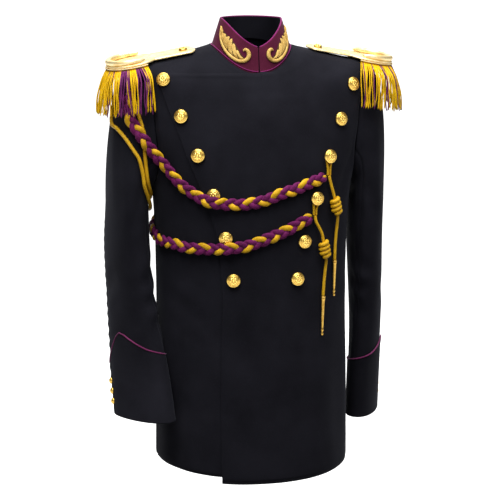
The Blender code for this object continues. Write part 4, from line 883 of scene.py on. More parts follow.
# Slight waves of the collar: depth, width, and turns and parts of its height along each.
COLLAR_FOLDS = [
    (0.0006, 0.010, ((52, 0.1), (50, 0.5), (47, 0.9))),
    (0.0005, 0.011, ((-62, 0.1), (-58, 0.5), (-56, 0.9))),
    (0.0007, 0.014, ((140, 0.1), (143, 0.5), (145, 0.9))),
    (0.0006, 0.013, ((-150, 0.1), (-149, 0.5), (-152, 0.9))),
]
collar_folds = [Fold([collar_points(turn, part) for turn, part in spots], depth, width)
                for depth, width, spots in COLLAR_FOLDS]
for name, out, cloth in (("collar", COLLAR_OUT, PLUM_CLOTH),
                         ("collar_inside", COLLAR_OUT - COLLAR_PLY - SEAM, NAVY_WOOL)):
    grid = collar_points(np.broadcast_to(collar_turns, collar_parts.shape), collar_parts, out)
    ply = cloth_piece(name + "_cloth", grid, COLLAR_PLY, collar_folds, cloth)
    dressed(ply, name, "plum_wool" if name == "collar" else "navy_wool")

top_turns = np.linspace(TOP_BEAD_TURN, 360 - TOP_BEAD_TURN, 181)
top_edge = collar_points(top_turns, 1.0, COLLAR_OUT - COLLAR_PLY) + (0, 0, TOP_BEAD_RISE)
dressed(piping("collar_piping_bead", top_edge, PLUM_BEAD), "collar_piping", "plum_wool")
base_turns = np.linspace(BASE_BEAD_TURN, 360 - BASE_BEAD_TURN, 181)
base_edge = collar_points(base_turns, 0.0, COLLAR_OUT + 0.0006) + (0, 0, BASE_BEAD_RISE)
base_rope = round_rope(along_route(base_edge, BEAD_STEP), BASE_BEAD_RADIUS, 2, 0.0036, 0.10)
dressed(rope_mesh("collar_base_bead", [base_rope], [PLUM_BEAD]), None, "plum_wool")


# Collar leaves ----------------------------------------------------------------------------------
# A leaf on each side of the collar, embroidered in gold bullion: a padded stem band that starts in
# a hook at the front, and feathery lobes of coiled thread laid side by side over a felt padding,
# which is painted dark as the shade in the gaps between them.
# Rows along the stem band: length along the collar, height, its own half width, reach of the lobes.
LEAF_STEM = [
    (0.0285, 0.0285, 0.0012, 0.0010), (0.0245, 0.0325, 0.0026, 0.0018), (0.0190, 0.0305, 0.0036, 0.0022),
    (0.0178, 0.0230, 0.0042, 0.0030), (0.0240, 0.0148, 0.0044, 0.0050), (0.0355, 0.0098, 0.0044, 0.0140),
    (0.0495, 0.0088, 0.0042, 0.0220), (0.0635, 0.0108, 0.0040, 0.0250), (0.0765, 0.0165, 0.0036, 0.0205),
    (0.0865, 0.0255, 0.0028, 0.0125), (0.0925, 0.0380, 0.0012, 0.0030),
]
STEM_HALF_ROWS = [0, 1, 3, 5, 8, 10]
STEM_HALF_WIDTHS = [0.0013, 0.0026, 0.0038, 0.0029, 0.0022, 0.0010]
LEAF_LOBES = 6
LOBE_START, LOBE_END, LOBE_STEP = 4.1, 4.98, 0.93      # rows of the stem that the lobes grow from
LOBE_THREADS = 9
THREAD_STEPS = 15
THREAD_SAG = np.array((0.0016, -0.0022))
THREAD_RADIUS = 0.00088
SLIT = 0.0011               # open line between the stem band and the lobes
measure_turns = np.linspace(COLLAR_GAP_TURN, 200, 800)
measure_run = run_along(collar_points(measure_turns, 0.5))


def leaf_points(along, height, out):
    """Points over the collar from lengths along it from the centre front, up it and out of it."""
    turns = np.interp(along, measure_run, measure_turns)
    tall = np.linalg.norm(collar_points(turns, 1.0) - collar_points(turns, 0.0), axis=-1)
    return collar_points(turns, height / tall, out)


def leaf_rope(flat, outs, wide, thick, plies, twist, groove, sides, sign, ends):
    """Thread or band laid on the collar along points given as length along it and height."""
    points = leaf_points(flat[:, 0], flat[:, 1], outs)
    above = leaf_points(flat[:, 0], flat[:, 1], outs + 0.002)
    outward = unit(above - points)
    across = unit(np.cross(outward, unit(np.gradient(points, axis=0))))
    if sign < 0:
        points, across, outward = points * (-1, 1, 1), across * (-1, 1, 1), outward * (-1, 1, 1)
    return Rope(points, across * sign, outward, wide, thick, plies, twist, groove, sides, 0, ends)


def leaf_across(rows, places):
    """Direction on the collar across the stem band, towards the lobes."""
    ahead = smooth_rows(rows, places + 0.05)[..., :2] - smooth_rows(rows, places - 0.05)[..., :2]
    ahead = ahead / np.linalg.norm(ahead, axis=-1, keepdims=True)
    return np.stack([-ahead[..., 1], ahead[..., 0]], -1)


def spun_thread(name, deep, lit, roughness, sheen, ridges):
    """Twisted cord of spun thread, with painted shade between fine threads and a painted highlight where
    light would catch it.
    """
    material, shade = new_finish(name, {"Specular IOR Level": 0.18, "Sheen Weight": sheen,
                                        "Sheen Roughness": 0.4, "Sheen Tint": (*lit, 1.0)})
    threads = shade.noise(ridges, 2.0, (1.0, 1.0, 2.6))
    drift = shade.noise(70.0, 2.0)
    # painted shade and painted highlight: fine thread noise darkens and lightens the colour
    tone = (0.7 * threads + 0.3 * drift).between(0.36, 0.62)
    feed(material, {"Base Color": tone.blend(deep, lit), "Roughness": threads * 0.2 + (roughness - 0.1),
                    "Normal": threads.relief(0.00035)})
    return material


def end_rounding(run, radius):
    """Share of a cord's thickness along it, rounded off at both ends."""
    near = np.minimum(np.minimum(run, run[-1] - run) / radius, 1.0)
    return 0.12 + 0.88 * np.sqrt(np.clip(1 - (1 - near) ** 2, 0, 1))


BULLION = spun_thread("bullion_thread", (0.36, 0.165, 0.018), (0.94, 0.66, 0.20), 0.40, 0.05, 1500.0)
# a dark sheet laid under the lobes, painted as the shade in the gaps between their threads
BULLION_SHADE = spun_thread("bullion_ground", (0.030, 0.012, 0.004), (0.085, 0.038, 0.010), 0.7, 0, 1200.0)
stem_places = np.linspace(0, len(LEAF_STEM) - 1, 90)
stem = smooth_rows(LEAF_STEM, stem_places)
stem_across = leaf_across(LEAF_STEM, stem_places)
back_out = COLLAR_OUT + SEAM
for side, sign in SIDES:
    threads = []
    band_half = np.interp(stem_places, STEM_HALF_ROWS, STEM_HALF_WIDTHS)
    band_line = stem[:, :2] - stem_across * (stem[:, 2:3] - band_half[:, None])
    threads.append(leaf_rope(band_line, back_out + 0.0008 + 0.25 * band_half, 1.0, 0.75, 2, 0.0021, 0.07, 14,
                             sign, band_half))
    # the dark sheet of painted shade under the lobes
    shade_sheet_low, shade_sheet_high = -stem[:, 2], stem[:, 3] * 0.82
    shade_sheet_line = stem[:, :2] + stem_across * ((shade_sheet_low + shade_sheet_high) / 2)[:, None]
    shade_sheet = leaf_rope(shade_sheet_line, back_out + 0.0006 + 0 * stem_places, 1.0, 0.05, 1, 1.0, 0.0, 14, sign,
                       (shade_sheet_high - shade_sheet_low) / 2)
    threads.append(shade_sheet._replace(finish=1))
    for lobe in range(LEAF_LOBES):
        first, last = LOBE_START + LOBE_STEP * lobe, LOBE_END + LOBE_STEP * lobe
        for k in range(LOBE_THREADS):
            share = k / (LOBE_THREADS - 1)
            root_at = first + (last - first) * (0.15 + 0.7 * share) - 0.25
            tip_at = min(first + (last - first) * share + 0.45, len(LEAF_STEM) - 1.02)
            root_row, tip_row = smooth_rows(LEAF_STEM, root_at), smooth_rows(LEAF_STEM, tip_at)
            root = root_row[:2] + leaf_across(LEAF_STEM, np.array(root_at)) * (0.0012 + SLIT)
            scallop = 0.60 + 0.40 * math.sin(math.pi * (0.06 + 0.88 * share)) ** 0.7
            tip = tip_row[:2] + leaf_across(LEAF_STEM, np.array(tip_at)) * (tip_row[3] * scallop)
            bend = (root + tip) / 2 + THREAD_SAG * (1.3 - share)
            t = np.linspace(0, 1, THREAD_STEPS)[:, None]
            flat = (1 - t) ** 2 * root + 2 * t * (1 - t) * bend + t ** 2 * tip
            swell = 0.0003 + 0.0024 * np.sin(np.pi * (0.12 + 0.80 * t[:, 0])) * (0.10 + 0.90 * share)
            threads.append(leaf_rope(flat, back_out + swell, THREAD_RADIUS, THREAD_RADIUS, 2, 0.0017, 0.16, 6,
                                     sign, end_rounding(np.linspace(0, 0.012, THREAD_STEPS), 0.0007)))
    leaf = rope_mesh("collar_leaf_" + side + "_bullion", threads, [BULLION, BULLION_SHADE])
    dressed(leaf, "collar_leaf_" + side, "gold_bullion")


# Buttons ----------------------------------------------------------------------------------------
# Domed gilt buttons struck with a plain flower inside a ring, two columns of six on the front and
# three small ones at the back of each cuff. Each is sewn on by a shank under its shell.
def gilt(name, deep, lit, roughness):
    """Gilt brass: bright and worn smooth where it is raised and by random wear, duller in its hollows, with
    painted shade that makes them darker and browner.
    """
    material, shade = new_finish(name, {"Metallic": 1.0})
    raised = shade.node("ShaderNodeAttribute", {"attribute_name": "raised"}, {}, 2)
    wear = shade.noise(260.0, 3.0)
    # painted shade: the colour darkens where the relief is low, in the hollows, mixed with random wear
    mask = (raised * 0.7 + wear * 0.6).between(0.05, 0.75)
    feed(material, {"Base Color": mask.blend(deep, lit), "Roughness": roughness + 0.16 * (1 - mask),
                    "Normal": shade.noise(1800.0, 2.0).relief(0.00004)})
    return material


def turned_piece(name, radii, heights, frame, finish, steps, relief=None):
    """Piece turned round its own Z axis, from its top middle to its bottom middle. relief gives
    extra height from the share of the outer radius and the angle."""
    angle = np.linspace(0, 2 * math.pi, steps, endpoint=False)
    radii, heights = np.array(radii)[:, None], np.array(heights)[:, None]
    z = heights + 0 * angle
    marks = 0 * z
    if relief is not None:
        on_top = np.arange(len(radii)) < radii.argmax()
        marks = relief(radii / radii.max(), angle[None, :]) * on_top[:, None]
        z = z + marks
    ring = np.stack([radii * np.cos(angle), radii * np.sin(angle), z], -1)[1:-1]
    count = len(ring)
    points = np.vstack([[[0, 0, z[0, 0]]], ring.reshape(-1, 3), [[0, 0, z[-1, 0]]]])
    ids = 1 + np.arange(count * steps).reshape(count, steps)
    faces = quads_of(ids)[:, [0, 3, 2, 1]].tolist()
    faces += [[0, a, b] for a, b in zip(ids[0].tolist(), np.roll(ids[0], -1).tolist())]
    faces += [[len(points) - 1, b, a] for a, b in zip(ids[-1].tolist(), np.roll(ids[-1], -1).tolist())]
    made = built(name, [frame @ Vector(p) for p in points], faces, [finish])
    # relief height, which the gilt finish uses for painted shade in the hollows
    raised = made.data.attributes.new("raised", "FLOAT", "POINT")
    values = np.concatenate([[marks[0, 0]], marks[1:-1].ravel(), [0.0]])
    raised.data.foreach_set("value", values / max(np.abs(marks).max(), 1e-9))
    return made


def set_on(seat, outward):
    """Frame at a seat with its Z axis along the outward direction."""
    return Matrix.Translation(Vector(seat)) @ Vector(outward).to_track_quat("Z", "Y").to_matrix().to_4x4()


FLOWER_RISE, BEAD_RISE, RING_RISE, RIM_RISE = 0.0008, 0.0009, 0.0005, 0.0007


def button_relief(scale):
    """Flower of eight petals round a small bead, inside a ring, with a corded rim."""
    def height(share, angle):
        petals = np.cos(4 * angle) ** 2
        flower = ridge(share, 0.34 + 0.06 * petals, 0.13, 4) * (0.35 + 0.65 * petals)
        rim = ridge(share, 0.90, 0.06, 4) * (0.7 + 0.3 * np.cos(36 * angle + 14 * share))
        return scale * (FLOWER_RISE * flower + BEAD_RISE * ridge(share, 0, 0.12, 4)
                        + RING_RISE * ridge(share, 0.68, 0.035) + RIM_RISE * rim)
    return height


SHANK_RADIUS = 0.0025


def button_shape(radius, height, shank):
    """Radii and heights of a button from its centre top down to its foot."""
    share = np.concatenate([np.linspace(0, 0.97, 34), [0.99, 1.0, 0.985, 0.90]])
    dome = height * (0.25 + 0.75 * np.clip(1 - share[:36] ** 2.6, 0, 1) ** 0.8)
    down = np.concatenate([dome, [height * 0.14, 0.0]]) + shank
    if not shank:
        return np.append(share * radius, 0.0), np.append(down, 0.0)
    return (np.concatenate([share * radius, [SHANK_RADIUS, SHANK_RADIUS, 0.0]]),
            np.concatenate([down, [shank, 0.0, 0.0]]))


BUTTON_RADIUS = 0.0120
BUTTON_HEIGHT = 0.0075
BUTTON_SHANK = 0.0010
LOOP_SHANK = 0.0052         # the two buttons of the left row that carry the cord loops stand higher
LOOP_BUTTONS = (3, 4)
SEAT = 0.0005               # air under a shank, for the slight hollows of the cloth
FrontButton = namedtuple("FrontButton", "reach left_z right_z left_sink right_sink")
FRONT_BUTTONS = [
    FrontButton(0.1610, -0.0640, -0.0520, 0.0007, 0.0014), FrontButton(0.1355, -0.1205, -0.1110, 0, 0),
    FrontButton(0.1105, -0.1815, -0.1750, 0, 0), FrontButton(0.0865, -0.2505, -0.2410, 0, 0),
    FrontButton(0.0670, -0.3235, -0.3135, 0, 0), FrontButton(0.0545, -0.3875, -0.3860, 0, 0),
]
GILT = gilt("gilt_brass", (0.34, 0.150, 0.010), (1.0, 0.70, 0.17), 0.27)
for number, spot in enumerate(FRONT_BUTTONS, start=1):
    for side, z, sink in (("left", spot.left_z, spot.left_sink), ("right", spot.right_z, spot.right_sink)):
        turn, level = front_place(spot.reach, z)
        outward = unit(body_points(turn, level, 0.01) - body_points(turn, level))
        if side == "left":
            edge = float(lap_turns(np.array(level)))
            stand = float(lift(turn, level, edge + 2.0, float(armhole_turns(np.array(level)))))
        else:
            stand = float(lift(-turn, level, 90.0, 91.0))       # the lap covers this whole side of the front
        seat = body_points(turn, level) + outward * (stand + SEAT - sink)
        if side == "right":
            seat, outward = seat * (-1, 1, 1), outward * (-1, 1, 1)
        shank = LOOP_SHANK if side == "left" and number in LOOP_BUTTONS else BUTTON_SHANK
        radii, heights = button_shape(BUTTON_RADIUS, BUTTON_HEIGHT, shank)
        button = turned_piece(f"button_{side}_{number}_shell", radii, heights, set_on(seat, outward), GILT,
                              96, button_relief(1.0))
        dressed(button, f"button_{side}_{number}", "gilt_metal")

CUFF_BUTTON_TURN = -50.0
CUFF_BUTTON_HEIGHTS = (0.022, 0.038, 0.054)       # places up the cuff
CUFF_BUTTON_RADIUS = 0.0055
CUFF_BUTTON_HEIGHT = 0.0045
for side, sign in SIDES:
    for number, height in enumerate(CUFF_BUTTON_HEIGHTS, start=1):
        place = float(sleeve_places(side, height))
        skin = sleeve_points(side, place, CUFF_BUTTON_TURN)
        outward = unit(sleeve_points(side, place, CUFF_BUTTON_TURN, 0.01) - skin)
        seat = skin + outward * (CUFF_PLY + CUFF_AIR + 2 * SEAM)
        radii, heights = button_shape(CUFF_BUTTON_RADIUS, CUFF_BUTTON_HEIGHT, 0.0)
        placed = set_on(seat * (sign, 1, 1), outward * (sign, 1, 1))
        button = turned_piece(f"cuff_button_{side}_{number}_shell", radii, heights, placed, GILT, 60,
                              button_relief(0.5))
        dressed(button, f"cuff_button_{side}_{number}", "gilt_metal")


# Epaulettes -------------------------------------------------------------------------------------
# A stamped gilt board on each shoulder: a strap with a raised border and a chequered field, a
# round end plate inside a raised crescent, and a flower-headed boss by the neck. Round the plate
# hangs a fringe of twisted cord, gold with some purple, sewn into a woven heading.
BOARD_START_X = 0.098
BOARD_Y = -0.002
BOARD_START_Z = {"left": -0.0043, "right": -0.0060}
BOARD_SLOPE = 10.5          # degrees down towards the arm
BOARD_TILT = 5.0            # degrees down towards the front
BOARD_THICKNESS = 0.0030
BOARD_ROUNDING = 0.0012
STRAP_HALF_WIDTH = 0.027
STRAP_END = 0.012           # length of the rounded neck end
PLATE_CENTRE = 0.110        # along the board from its neck end
PLATE_RADIUS = 0.0450
CRESCENT_RADIUS = 0.0050
STRIP_WIDTH = 0.0035        # woven heading that carries the fringe
STRIP_HEIGHT = 0.0055
FRINGE_SPAN = 117.0         # degrees to each side of the outward direction
BOW_STEPS = 130
FRINGE_LENGTH = 0.076
FRINGE_FLARE = 0.018        # how far the strand ends swing out at the arm, and at front and back
FRINGE_SIDE_FLARE = 0.038
EDGE_BEAD_RADIUS = 0.0012
BOSS_RADIUS = 0.0075
BOSS_HEIGHT = 0.0052
BOSS_PLACE = 0.020
# Ridges struck into the board: height, distance from its edge or from the plate's middle, width.
BORDER_RIDGES = [(0.0012, 0.0026, 0.0013), (0.0006, 0.0060, 0.0007)]
PLATE_RIDGES = [(0.0008, 0.0290, 0.0010), (0.00048, 0.0215, 0.0008)]
CHEQUER_RISE = 0.0005
CHEQUER_PITCH = 0.0042


def board_frame(side):
    """Frame of an epaulette: X along the board from its neck end, Z up from its underside."""
    frame = (Matrix.Translation((BOARD_START_X, BOARD_Y, BOARD_START_Z[side]))
             @ Matrix.Rotation(math.radians(BOARD_SLOPE), 4, "Y")
             @ Matrix.Rotation(math.radians(BOARD_TILT), 4, "X"))
    return Matrix.Scale(-1, 4, (1, 0, 0)) @ frame if side == "right" else frame


def in_frame(frame, points):
    """Points taken from a frame into the coat's own space."""
    turn = np.array(frame)
    return np.asarray(points) @ turn[:3, :3].T + turn[:3, 3]


def board_half_width(x):
    """Half width of the board along it."""
    end = STRAP_HALF_WIDTH * quarter_round(x / STRAP_END)
    disc = np.sqrt(np.clip(PLATE_RADIUS ** 2 - (x - PLATE_CENTRE) ** 2, 0, None))
    meet = PLATE_CENTRE - math.sqrt(PLATE_RADIUS ** 2 - STRAP_HALF_WIDTH ** 2)
    return np.where(x < meet, end, disc)


def polished(name, deep, lit, roughness):
    """Bright gilt sheet with faint wear."""
    material, shade = new_finish(name, {"Metallic": 0.72})
    wear = shade.noise(90.0, 4.0)
    mask = wear.between(0.35, 0.65)
    feed(material, {"Base Color": mask.blend(deep, lit), "Roughness": roughness + 0.10 * (1 - mask),
                    "Normal": shade.noise(340.0, 2.0).relief(0.00006)})
    return material


def along_board(start, end, counts):
    """Places along the board, close together where its two ends turn round."""
    neck_end = STRAP_END * (1 - np.cos(np.linspace(start, math.pi / 2, counts[0])))
    plate_end = PLATE_CENTRE + PLATE_RADIUS * np.sin(np.linspace(0, math.pi / 2 - end, counts[2]))
    return np.concatenate([neck_end, np.linspace(STRAP_END, PLATE_CENTRE, counts[1])[1:], plate_end[1:]])


BRIGHT_GILT = polished("bright_gilt_sheet", (0.88, 0.64, 0.26), (1.0, 0.84, 0.48), 0.36)
outline_x = along_board(0.0, 0.0, (60, 160, 120))
outline = np.stack([outline_x, board_half_width(outline_x)], -1)
outline = np.vstack([outline, outline[::-1] * (1, -1)])
board_x = along_board(0.05, 0.03, (12, 130, 46))
across_board = 2 * close_to_edges(40) - 1
board_y = board_half_width(board_x)[:, None] * across_board[None, :]
flat_board = np.stack([np.broadcast_to(board_x[:, None], board_y.shape), board_y], -1)
inset = np.linalg.norm(flat_board[:, :, None, :] - outline[None, None, :, :], axis=-1).min(2)
inset[[0, -1]] = 0
inset[:, [0, -1]] = 0
from_plate = np.hypot(flat_board[..., 0] - PLATE_CENTRE, flat_board[..., 1])
chequer = np.abs(np.sin((flat_board[..., 0] + flat_board[..., 1]) * math.pi / CHEQUER_PITCH)
                 * np.sin((flat_board[..., 0] - flat_board[..., 1]) * math.pi / CHEQUER_PITCH)) ** 0.6
field = eased(inset, 0.0066, 0.0082) * (1 - eased(flat_board[..., 0], 0.066, 0.072))
board_relief = CHEQUER_RISE * chequer * field
for rise, place, width in BORDER_RIDGES:
    board_relief = board_relief + rise * ridge(inset, place, width)
on_plate = eased(flat_board[..., 0], 0.070, 0.076)
for rise, place, width in PLATE_RIDGES:
    board_relief = board_relief + rise * ridge(from_plate, place, width) * on_plate
rounding = quarter_round(inset / BOARD_ROUNDING)
board_top = np.dstack([flat_board, BOARD_THICKNESS / 2 + rounding * (BOARD_THICKNESS / 2 + board_relief)])
board_under = np.dstack([flat_board, BOARD_THICKNESS / 2 * (1 - rounding)])

fringe_chance = np.random.default_rng(7)
FRINGE_GOLD = spun_thread("fringe_gold_thread", (0.66, 0.34, 0.002), (1.0, 0.64, 0.005), 0.44, 0.08, 1500.0)
FRINGE_PURPLE = spun_thread("fringe_purple_thread", (0.070, 0.007, 0.060), (0.200, 0.026, 0.155),
                            0.66, 0.15, 900.0)
PALE_BEAD = spun_thread("pale_bead_thread", (0.62, 0.42, 0.14), (1.0, 0.86, 0.52), 0.42, 0.05, 1400.0)
ROW_STRANDS = 61            # in the outer of two rows; the inner one has one fewer
ROW_DEPTHS = (0.0010, 0.0026)
STRAND_RADIUS = 0.00098
STRAND_TWIST = 0.0052
STRAND_STEPS = 28
SWAY = (0.0036, 0.0015, 0.0012, 0.0024)     # how unevenly strands hang: lean, bow, wave, and bow outward
PURPLE_PLACES = {"right": (3, 4, 5, 6, 7, 11, 12, 13, 14, 15, 20, 24, 41, 50),
                 "left": (1, 6, 11, 12, 18, 23, 29, 44)}
INNER_PURPLE_PLACES = {"right": (4, 5, 6, 12, 13, 14), "left": ()}


def strand(frame, angle, radius, length, sway):
    """One hanging strand of twisted thread, from inside the heading to its loose end."""
    t = np.linspace(0, 1, STRAND_STEPS)
    steep = math.sin(angle) ** 2
    knots = ((0.0, 0.0), (0.12, 0.24 + 0.22 * steep), (0.28, 0.48 + 0.36 * steep),
             (0.60, 0.80 + 0.14 * steep), (1.0, 1.0))
    curve = smooth_rows(knots, np.linspace(0, 4, 80))
    round_flare = np.interp(t, curve[:, 0], curve[:, 1])
    turn = np.array(frame)[:3, :3]
    flare = turn @ np.array((math.cos(angle) * FRINGE_FLARE, math.sin(angle) * FRINGE_SIDE_FLARE, 0.0))
    flare[2] = 0
    root = in_frame(frame, (PLATE_CENTRE + radius * math.cos(angle), radius * math.sin(angle),
                            -STRIP_HEIGHT + 0.002))
    sideways = unit(np.array((-flare[1], flare[0], 0.0)))
    outward = unit(flare)
    bend = sway[0] * t ** 1.4 + sway[1] * np.sin(math.pi * t) + sway[2] * np.sin(2 * math.pi * t) * t
    points = (root + flare * round_flare[:, None] + sideways * bend[:, None]
              + outward * (sway[3] * np.sin(math.pi * t) * t)[:, None])
    points[:, 2] -= length * t
    ends = end_rounding(np.linspace(0, length, STRAND_STEPS), 0.0012)
    return round_rope(points, STRAND_RADIUS, 2, STRAND_TWIST, 0.22, 7, ends)


def boss_petals(part, angle):
    """Six petals round a hollow, over the boss's own swell."""
    return 0.0019 * ridge(part, 0.66, 0.22, 4) * np.cos(3 * angle) ** 2 - 0.0010 * ridge(part, 0.30, 0.07)


boss_share = np.concatenate([np.linspace(0, 0.96, 30), [1.0, 0.97, 0.6]])
boss_swell = np.concatenate([BOSS_HEIGHT * (1 - 0.62 * boss_share[:30] ** 2), [0.0016, 0.0002, 0.0]])
for side in ("left", "right"):
    frame = board_frame(side)
    top_grid, under_grid = in_frame(frame, board_top), in_frame(frame, board_under)
    if side == "right":
        top_grid, under_grid = top_grid[:, ::-1], under_grid[:, ::-1]
    board = double_sheet("epaulette_board_" + side + "_sheet", top_grid, under_grid, False, BRIGHT_GILT)
    dressed(board, "epaulette_board_" + side, "gilt_metal")

    bow = np.radians(np.linspace(-FRINGE_SPAN, FRINGE_SPAN, BOW_STEPS))
    thick = CRESCENT_RADIUS * (0.45 + 0.55 * np.cos(bow / 2.2) ** 0.7)
    outer = PLATE_RADIUS - CRESCENT_RADIUS
    rise = BOARD_THICKNESS + SEAM + thick
    bow_line = in_frame(frame, np.stack([PLATE_CENTRE + outer * np.cos(bow), outer * np.sin(bow), rise], -1))
    radial = np.stack([np.cos(bow), np.sin(bow), 0 * bow], -1) @ np.array(frame)[:3, :3].T
    upward = np.broadcast_to(np.array(frame)[:3, 2], radial.shape)
    crescent = rope_mesh("epaulette_crescent_" + side + "_rim",
                         [Rope(bow_line, radial, upward, 1.0, 1.0, 1, 1.0, 0.0, 28, 0,
                               thick * end_rounding(np.linspace(0, 0.16, BOW_STEPS), 0.022))], [BRIGHT_GILT])
    dressed(crescent, "epaulette_crescent_" + side, "gilt_metal")

    heading_line = in_frame(frame, np.stack([PLATE_CENTRE + (PLATE_RADIUS - STRIP_WIDTH / 2) * np.cos(bow),
                                             (PLATE_RADIUS - STRIP_WIDTH / 2) * np.sin(bow),
                                             0 * bow - SEAM - (STRIP_HEIGHT - SEAM) / 2], -1))
    heading = Rope(heading_line, radial, upward, STRIP_WIDTH / 2, (STRIP_HEIGHT - SEAM) / 2,
                   2, 0.0030, 0.10, 12)
    gold_strands, purple_strands = [heading], []
    for row, places in enumerate((PURPLE_PLACES[side], INNER_PURPLE_PLACES[side])):
        radius = PLATE_RADIUS - ROW_DEPTHS[row]
        for k in range(ROW_STRANDS - row):
            angle = math.radians(-FRINGE_SPAN + 2 * FRINGE_SPAN * (k + 0.5 * row + 0.2) / (ROW_STRANDS - 0.6))
            length = FRINGE_LENGTH * (0.965 + 0.06 * fringe_chance.random() - 0.035 * row)
            sway = fringe_chance.normal(0, 1, 4) * SWAY
            purple = k in places
            hanging = strand(frame, angle, radius + 0.0010 * purple, length, sway * (1 + 0.5 * purple))
            (purple_strands if purple else gold_strands).append(hanging)
    fringe = rope_mesh("epaulette_fringe_" + side + "_gold", gold_strands, [FRINGE_GOLD])
    dressed(fringe, "epaulette_fringe_" + side, "gold_cord")
    purple_fringe = rope_mesh("epaulette_fringe_" + side + "_purple", purple_strands, [FRINGE_PURPLE])
    dressed(purple_fringe, None, "purple_cord")
    bead_line = in_frame(frame, np.stack([PLATE_CENTRE + (PLATE_RADIUS + 0.0008) * np.cos(bow),
                                          (PLATE_RADIUS + 0.0008) * np.sin(bow), 0 * bow - 0.0014], -1))
    bead_rope = round_rope(along_route(bead_line, 0.0009), EDGE_BEAD_RADIUS, 2, 0.0040, 0.30)
    dressed(rope_mesh("epaulette_edge_" + side + "_bead", [bead_rope], [PALE_BEAD]), None, "gold_bullion")

    seat = in_frame(frame, (BOSS_PLACE, 0.0, BOARD_THICKNESS + SEAM))
    up = np.array(frame)[:3, 2]
    boss = turned_piece("epaulette_boss_" + side + "_flower", np.append(boss_share * BOSS_RADIUS, 0.0),
                        np.append(boss_swell, 0.0), set_on(seat, up), GILT, 72, boss_petals)
    dressed(boss, "epaulette_boss_" + side, "gilt_metal")


# Shoulder cord ----------------------------------------------------------------------------------
# Two flat plaits of two purple strands and one gold one, and two plain gold cords, all sewn under
# the right epaulette and passed round the arm. The plaits end in thin loops over two buttons of
# the left row, with knotted and metal-tipped cords hanging below.
# A row of a plait's middle line: x, y, z, and the way it faces, in degrees round the body and up.
# The upper plait's table starts at the shoulder and the lower one's ends there.
UPPER_PLAIT = [
    (-0.2149, -0.0492, -0.0695, -36, 17), (-0.2201, -0.0556, -0.0923, -37, 14),
    (-0.2186, -0.0615, -0.1150, -31, 10), (-0.2076, -0.0719, -0.1347, -18, 7),
    (-0.1944, -0.0758, -0.1553, -8, 2), (-0.1796, -0.0748, -0.1743, -17, -4),
    (-0.1642, -0.0783, -0.1924, -36, -6), (-0.1513, -0.0875, -0.2105, -42, -6),
    (-0.1369, -0.0977, -0.2267, -38, -6), (-0.1195, -0.1083, -0.2391, -35, -5),
    (-0.1111, -0.1153, -0.2442, -33, -5), (-0.1028, -0.1244, -0.2479, -28, -4),
    (-0.0929, -0.1324, -0.2510, -23, -2), (-0.0795, -0.1318, -0.2535, -16, -1),
    (-0.0666, -0.1299, -0.2551, -12, 0), (-0.0426, -0.1325, -0.2555, -6, 1),
    (-0.0188, -0.1341, -0.2528, -3, 1), (0.0045, -0.1343, -0.2473, 1, 1),
    (0.0271, -0.1336, -0.2392, 3, 1), (0.0502, -0.1315, -0.2327, 7, 2),
    (0.0725, -0.1274, -0.2249, 12, 2), (0.0947, -0.1213, -0.2180, 17, 1),
    (0.1056, -0.1173, -0.2148, 18, 1),
]
LOWER_PLAIT = [
    (0.0794, -0.1255, -0.2814, 14, -1), (0.0577, -0.1301, -0.2912, 10, -1),
    (0.0364, -0.1327, -0.3022, 6, -1), (0.0137, -0.1338, -0.3107, 2, -1),
    (-0.0090, -0.1338, -0.3189, -1, -1), (-0.0320, -0.1327, -0.3265, -5, -1),
    (-0.0438, -0.1317, -0.3286, -7, -1), (-0.0561, -0.1318, -0.3294, -10, -1),
    (-0.0689, -0.1327, -0.3303, -13, -1), (-0.0796, -0.1256, -0.3311, -18, -1),
    (-0.0901, -0.1186, -0.3317, -21, -1), (-0.1119, -0.1087, -0.3321, -31, -1),
    (-0.1316, -0.0952, -0.3317, -41, -1), (-0.1490, -0.0794, -0.3278, -49, -1),
    (-0.1612, -0.0591, -0.3266, -62, -1), (-0.1698, -0.0370, -0.3260, -75, -1),
    (-0.1722, -0.0140, -0.3201, -84, -2), (-0.1730, 0.0095, -0.3178, -93, -3),
    (-0.1696, 0.0324, -0.3152, -105, -3), (-0.1603, 0.0527, -0.3075, -119, -3),
    (-0.1496, 0.0696, -0.2946, -132, -3), (-0.1399, 0.0796, -0.2749, -139, -4),
    (-0.1334, 0.0874, -0.2530, -143, -4), (-0.1296, 0.0917, -0.2295, -150, -2),
    (-0.1286, 0.0940, -0.2055, -153, -3), (-0.1301, 0.0951, -0.1814, -157, -2),
    (-0.1329, 0.0942, -0.1574, -159, -1), (-0.1375, 0.0926, -0.1337, -158, 1),
    (-0.1436, 0.0892, -0.1106, -154, 3), (-0.1511, 0.0836, -0.0883, -152, 5),
    (-0.1615, 0.0756, -0.0681, -151, 6), (-0.1676, 0.0711, -0.0586, -151, 7),
]
SIDE_CORD_A = [
    (-0.2330, -0.0060, -0.0680), (-0.2380, -0.0038, -0.0906), (-0.2424, -0.0030, -0.1131),
    (-0.2433, -0.0127, -0.1296), (-0.2377, -0.0347, -0.1345), (-0.2277, -0.0518, -0.1470),
    (-0.2162, -0.0627, -0.1646), (-0.2104, -0.0669, -0.1740), (-0.2047, -0.0682, -0.1844),
    (-0.1991, -0.0676, -0.2072), (-0.1957, -0.0655, -0.2305), (-0.1889, -0.0564, -0.2498),
    (-0.1834, -0.0410, -0.2645), (-0.1807, -0.0221, -0.2744), (-0.1800, -0.0011, -0.2790),
    (-0.1805, 0.0203, -0.2779), (-0.1827, 0.0403, -0.2714), (-0.1861, 0.0572, -0.2597),
    (-0.1901, 0.0687, -0.2427), (-0.1932, 0.0746, -0.2222), (-0.1952, 0.0761, -0.1999),
    (-0.1965, 0.0751, -0.1770), (-0.1983, 0.0725, -0.1538), (-0.2009, 0.0686, -0.1307),
    (-0.2048, 0.0634, -0.1081), (-0.2095, 0.0567, -0.0859), (-0.2120, 0.0530, -0.0750),
]
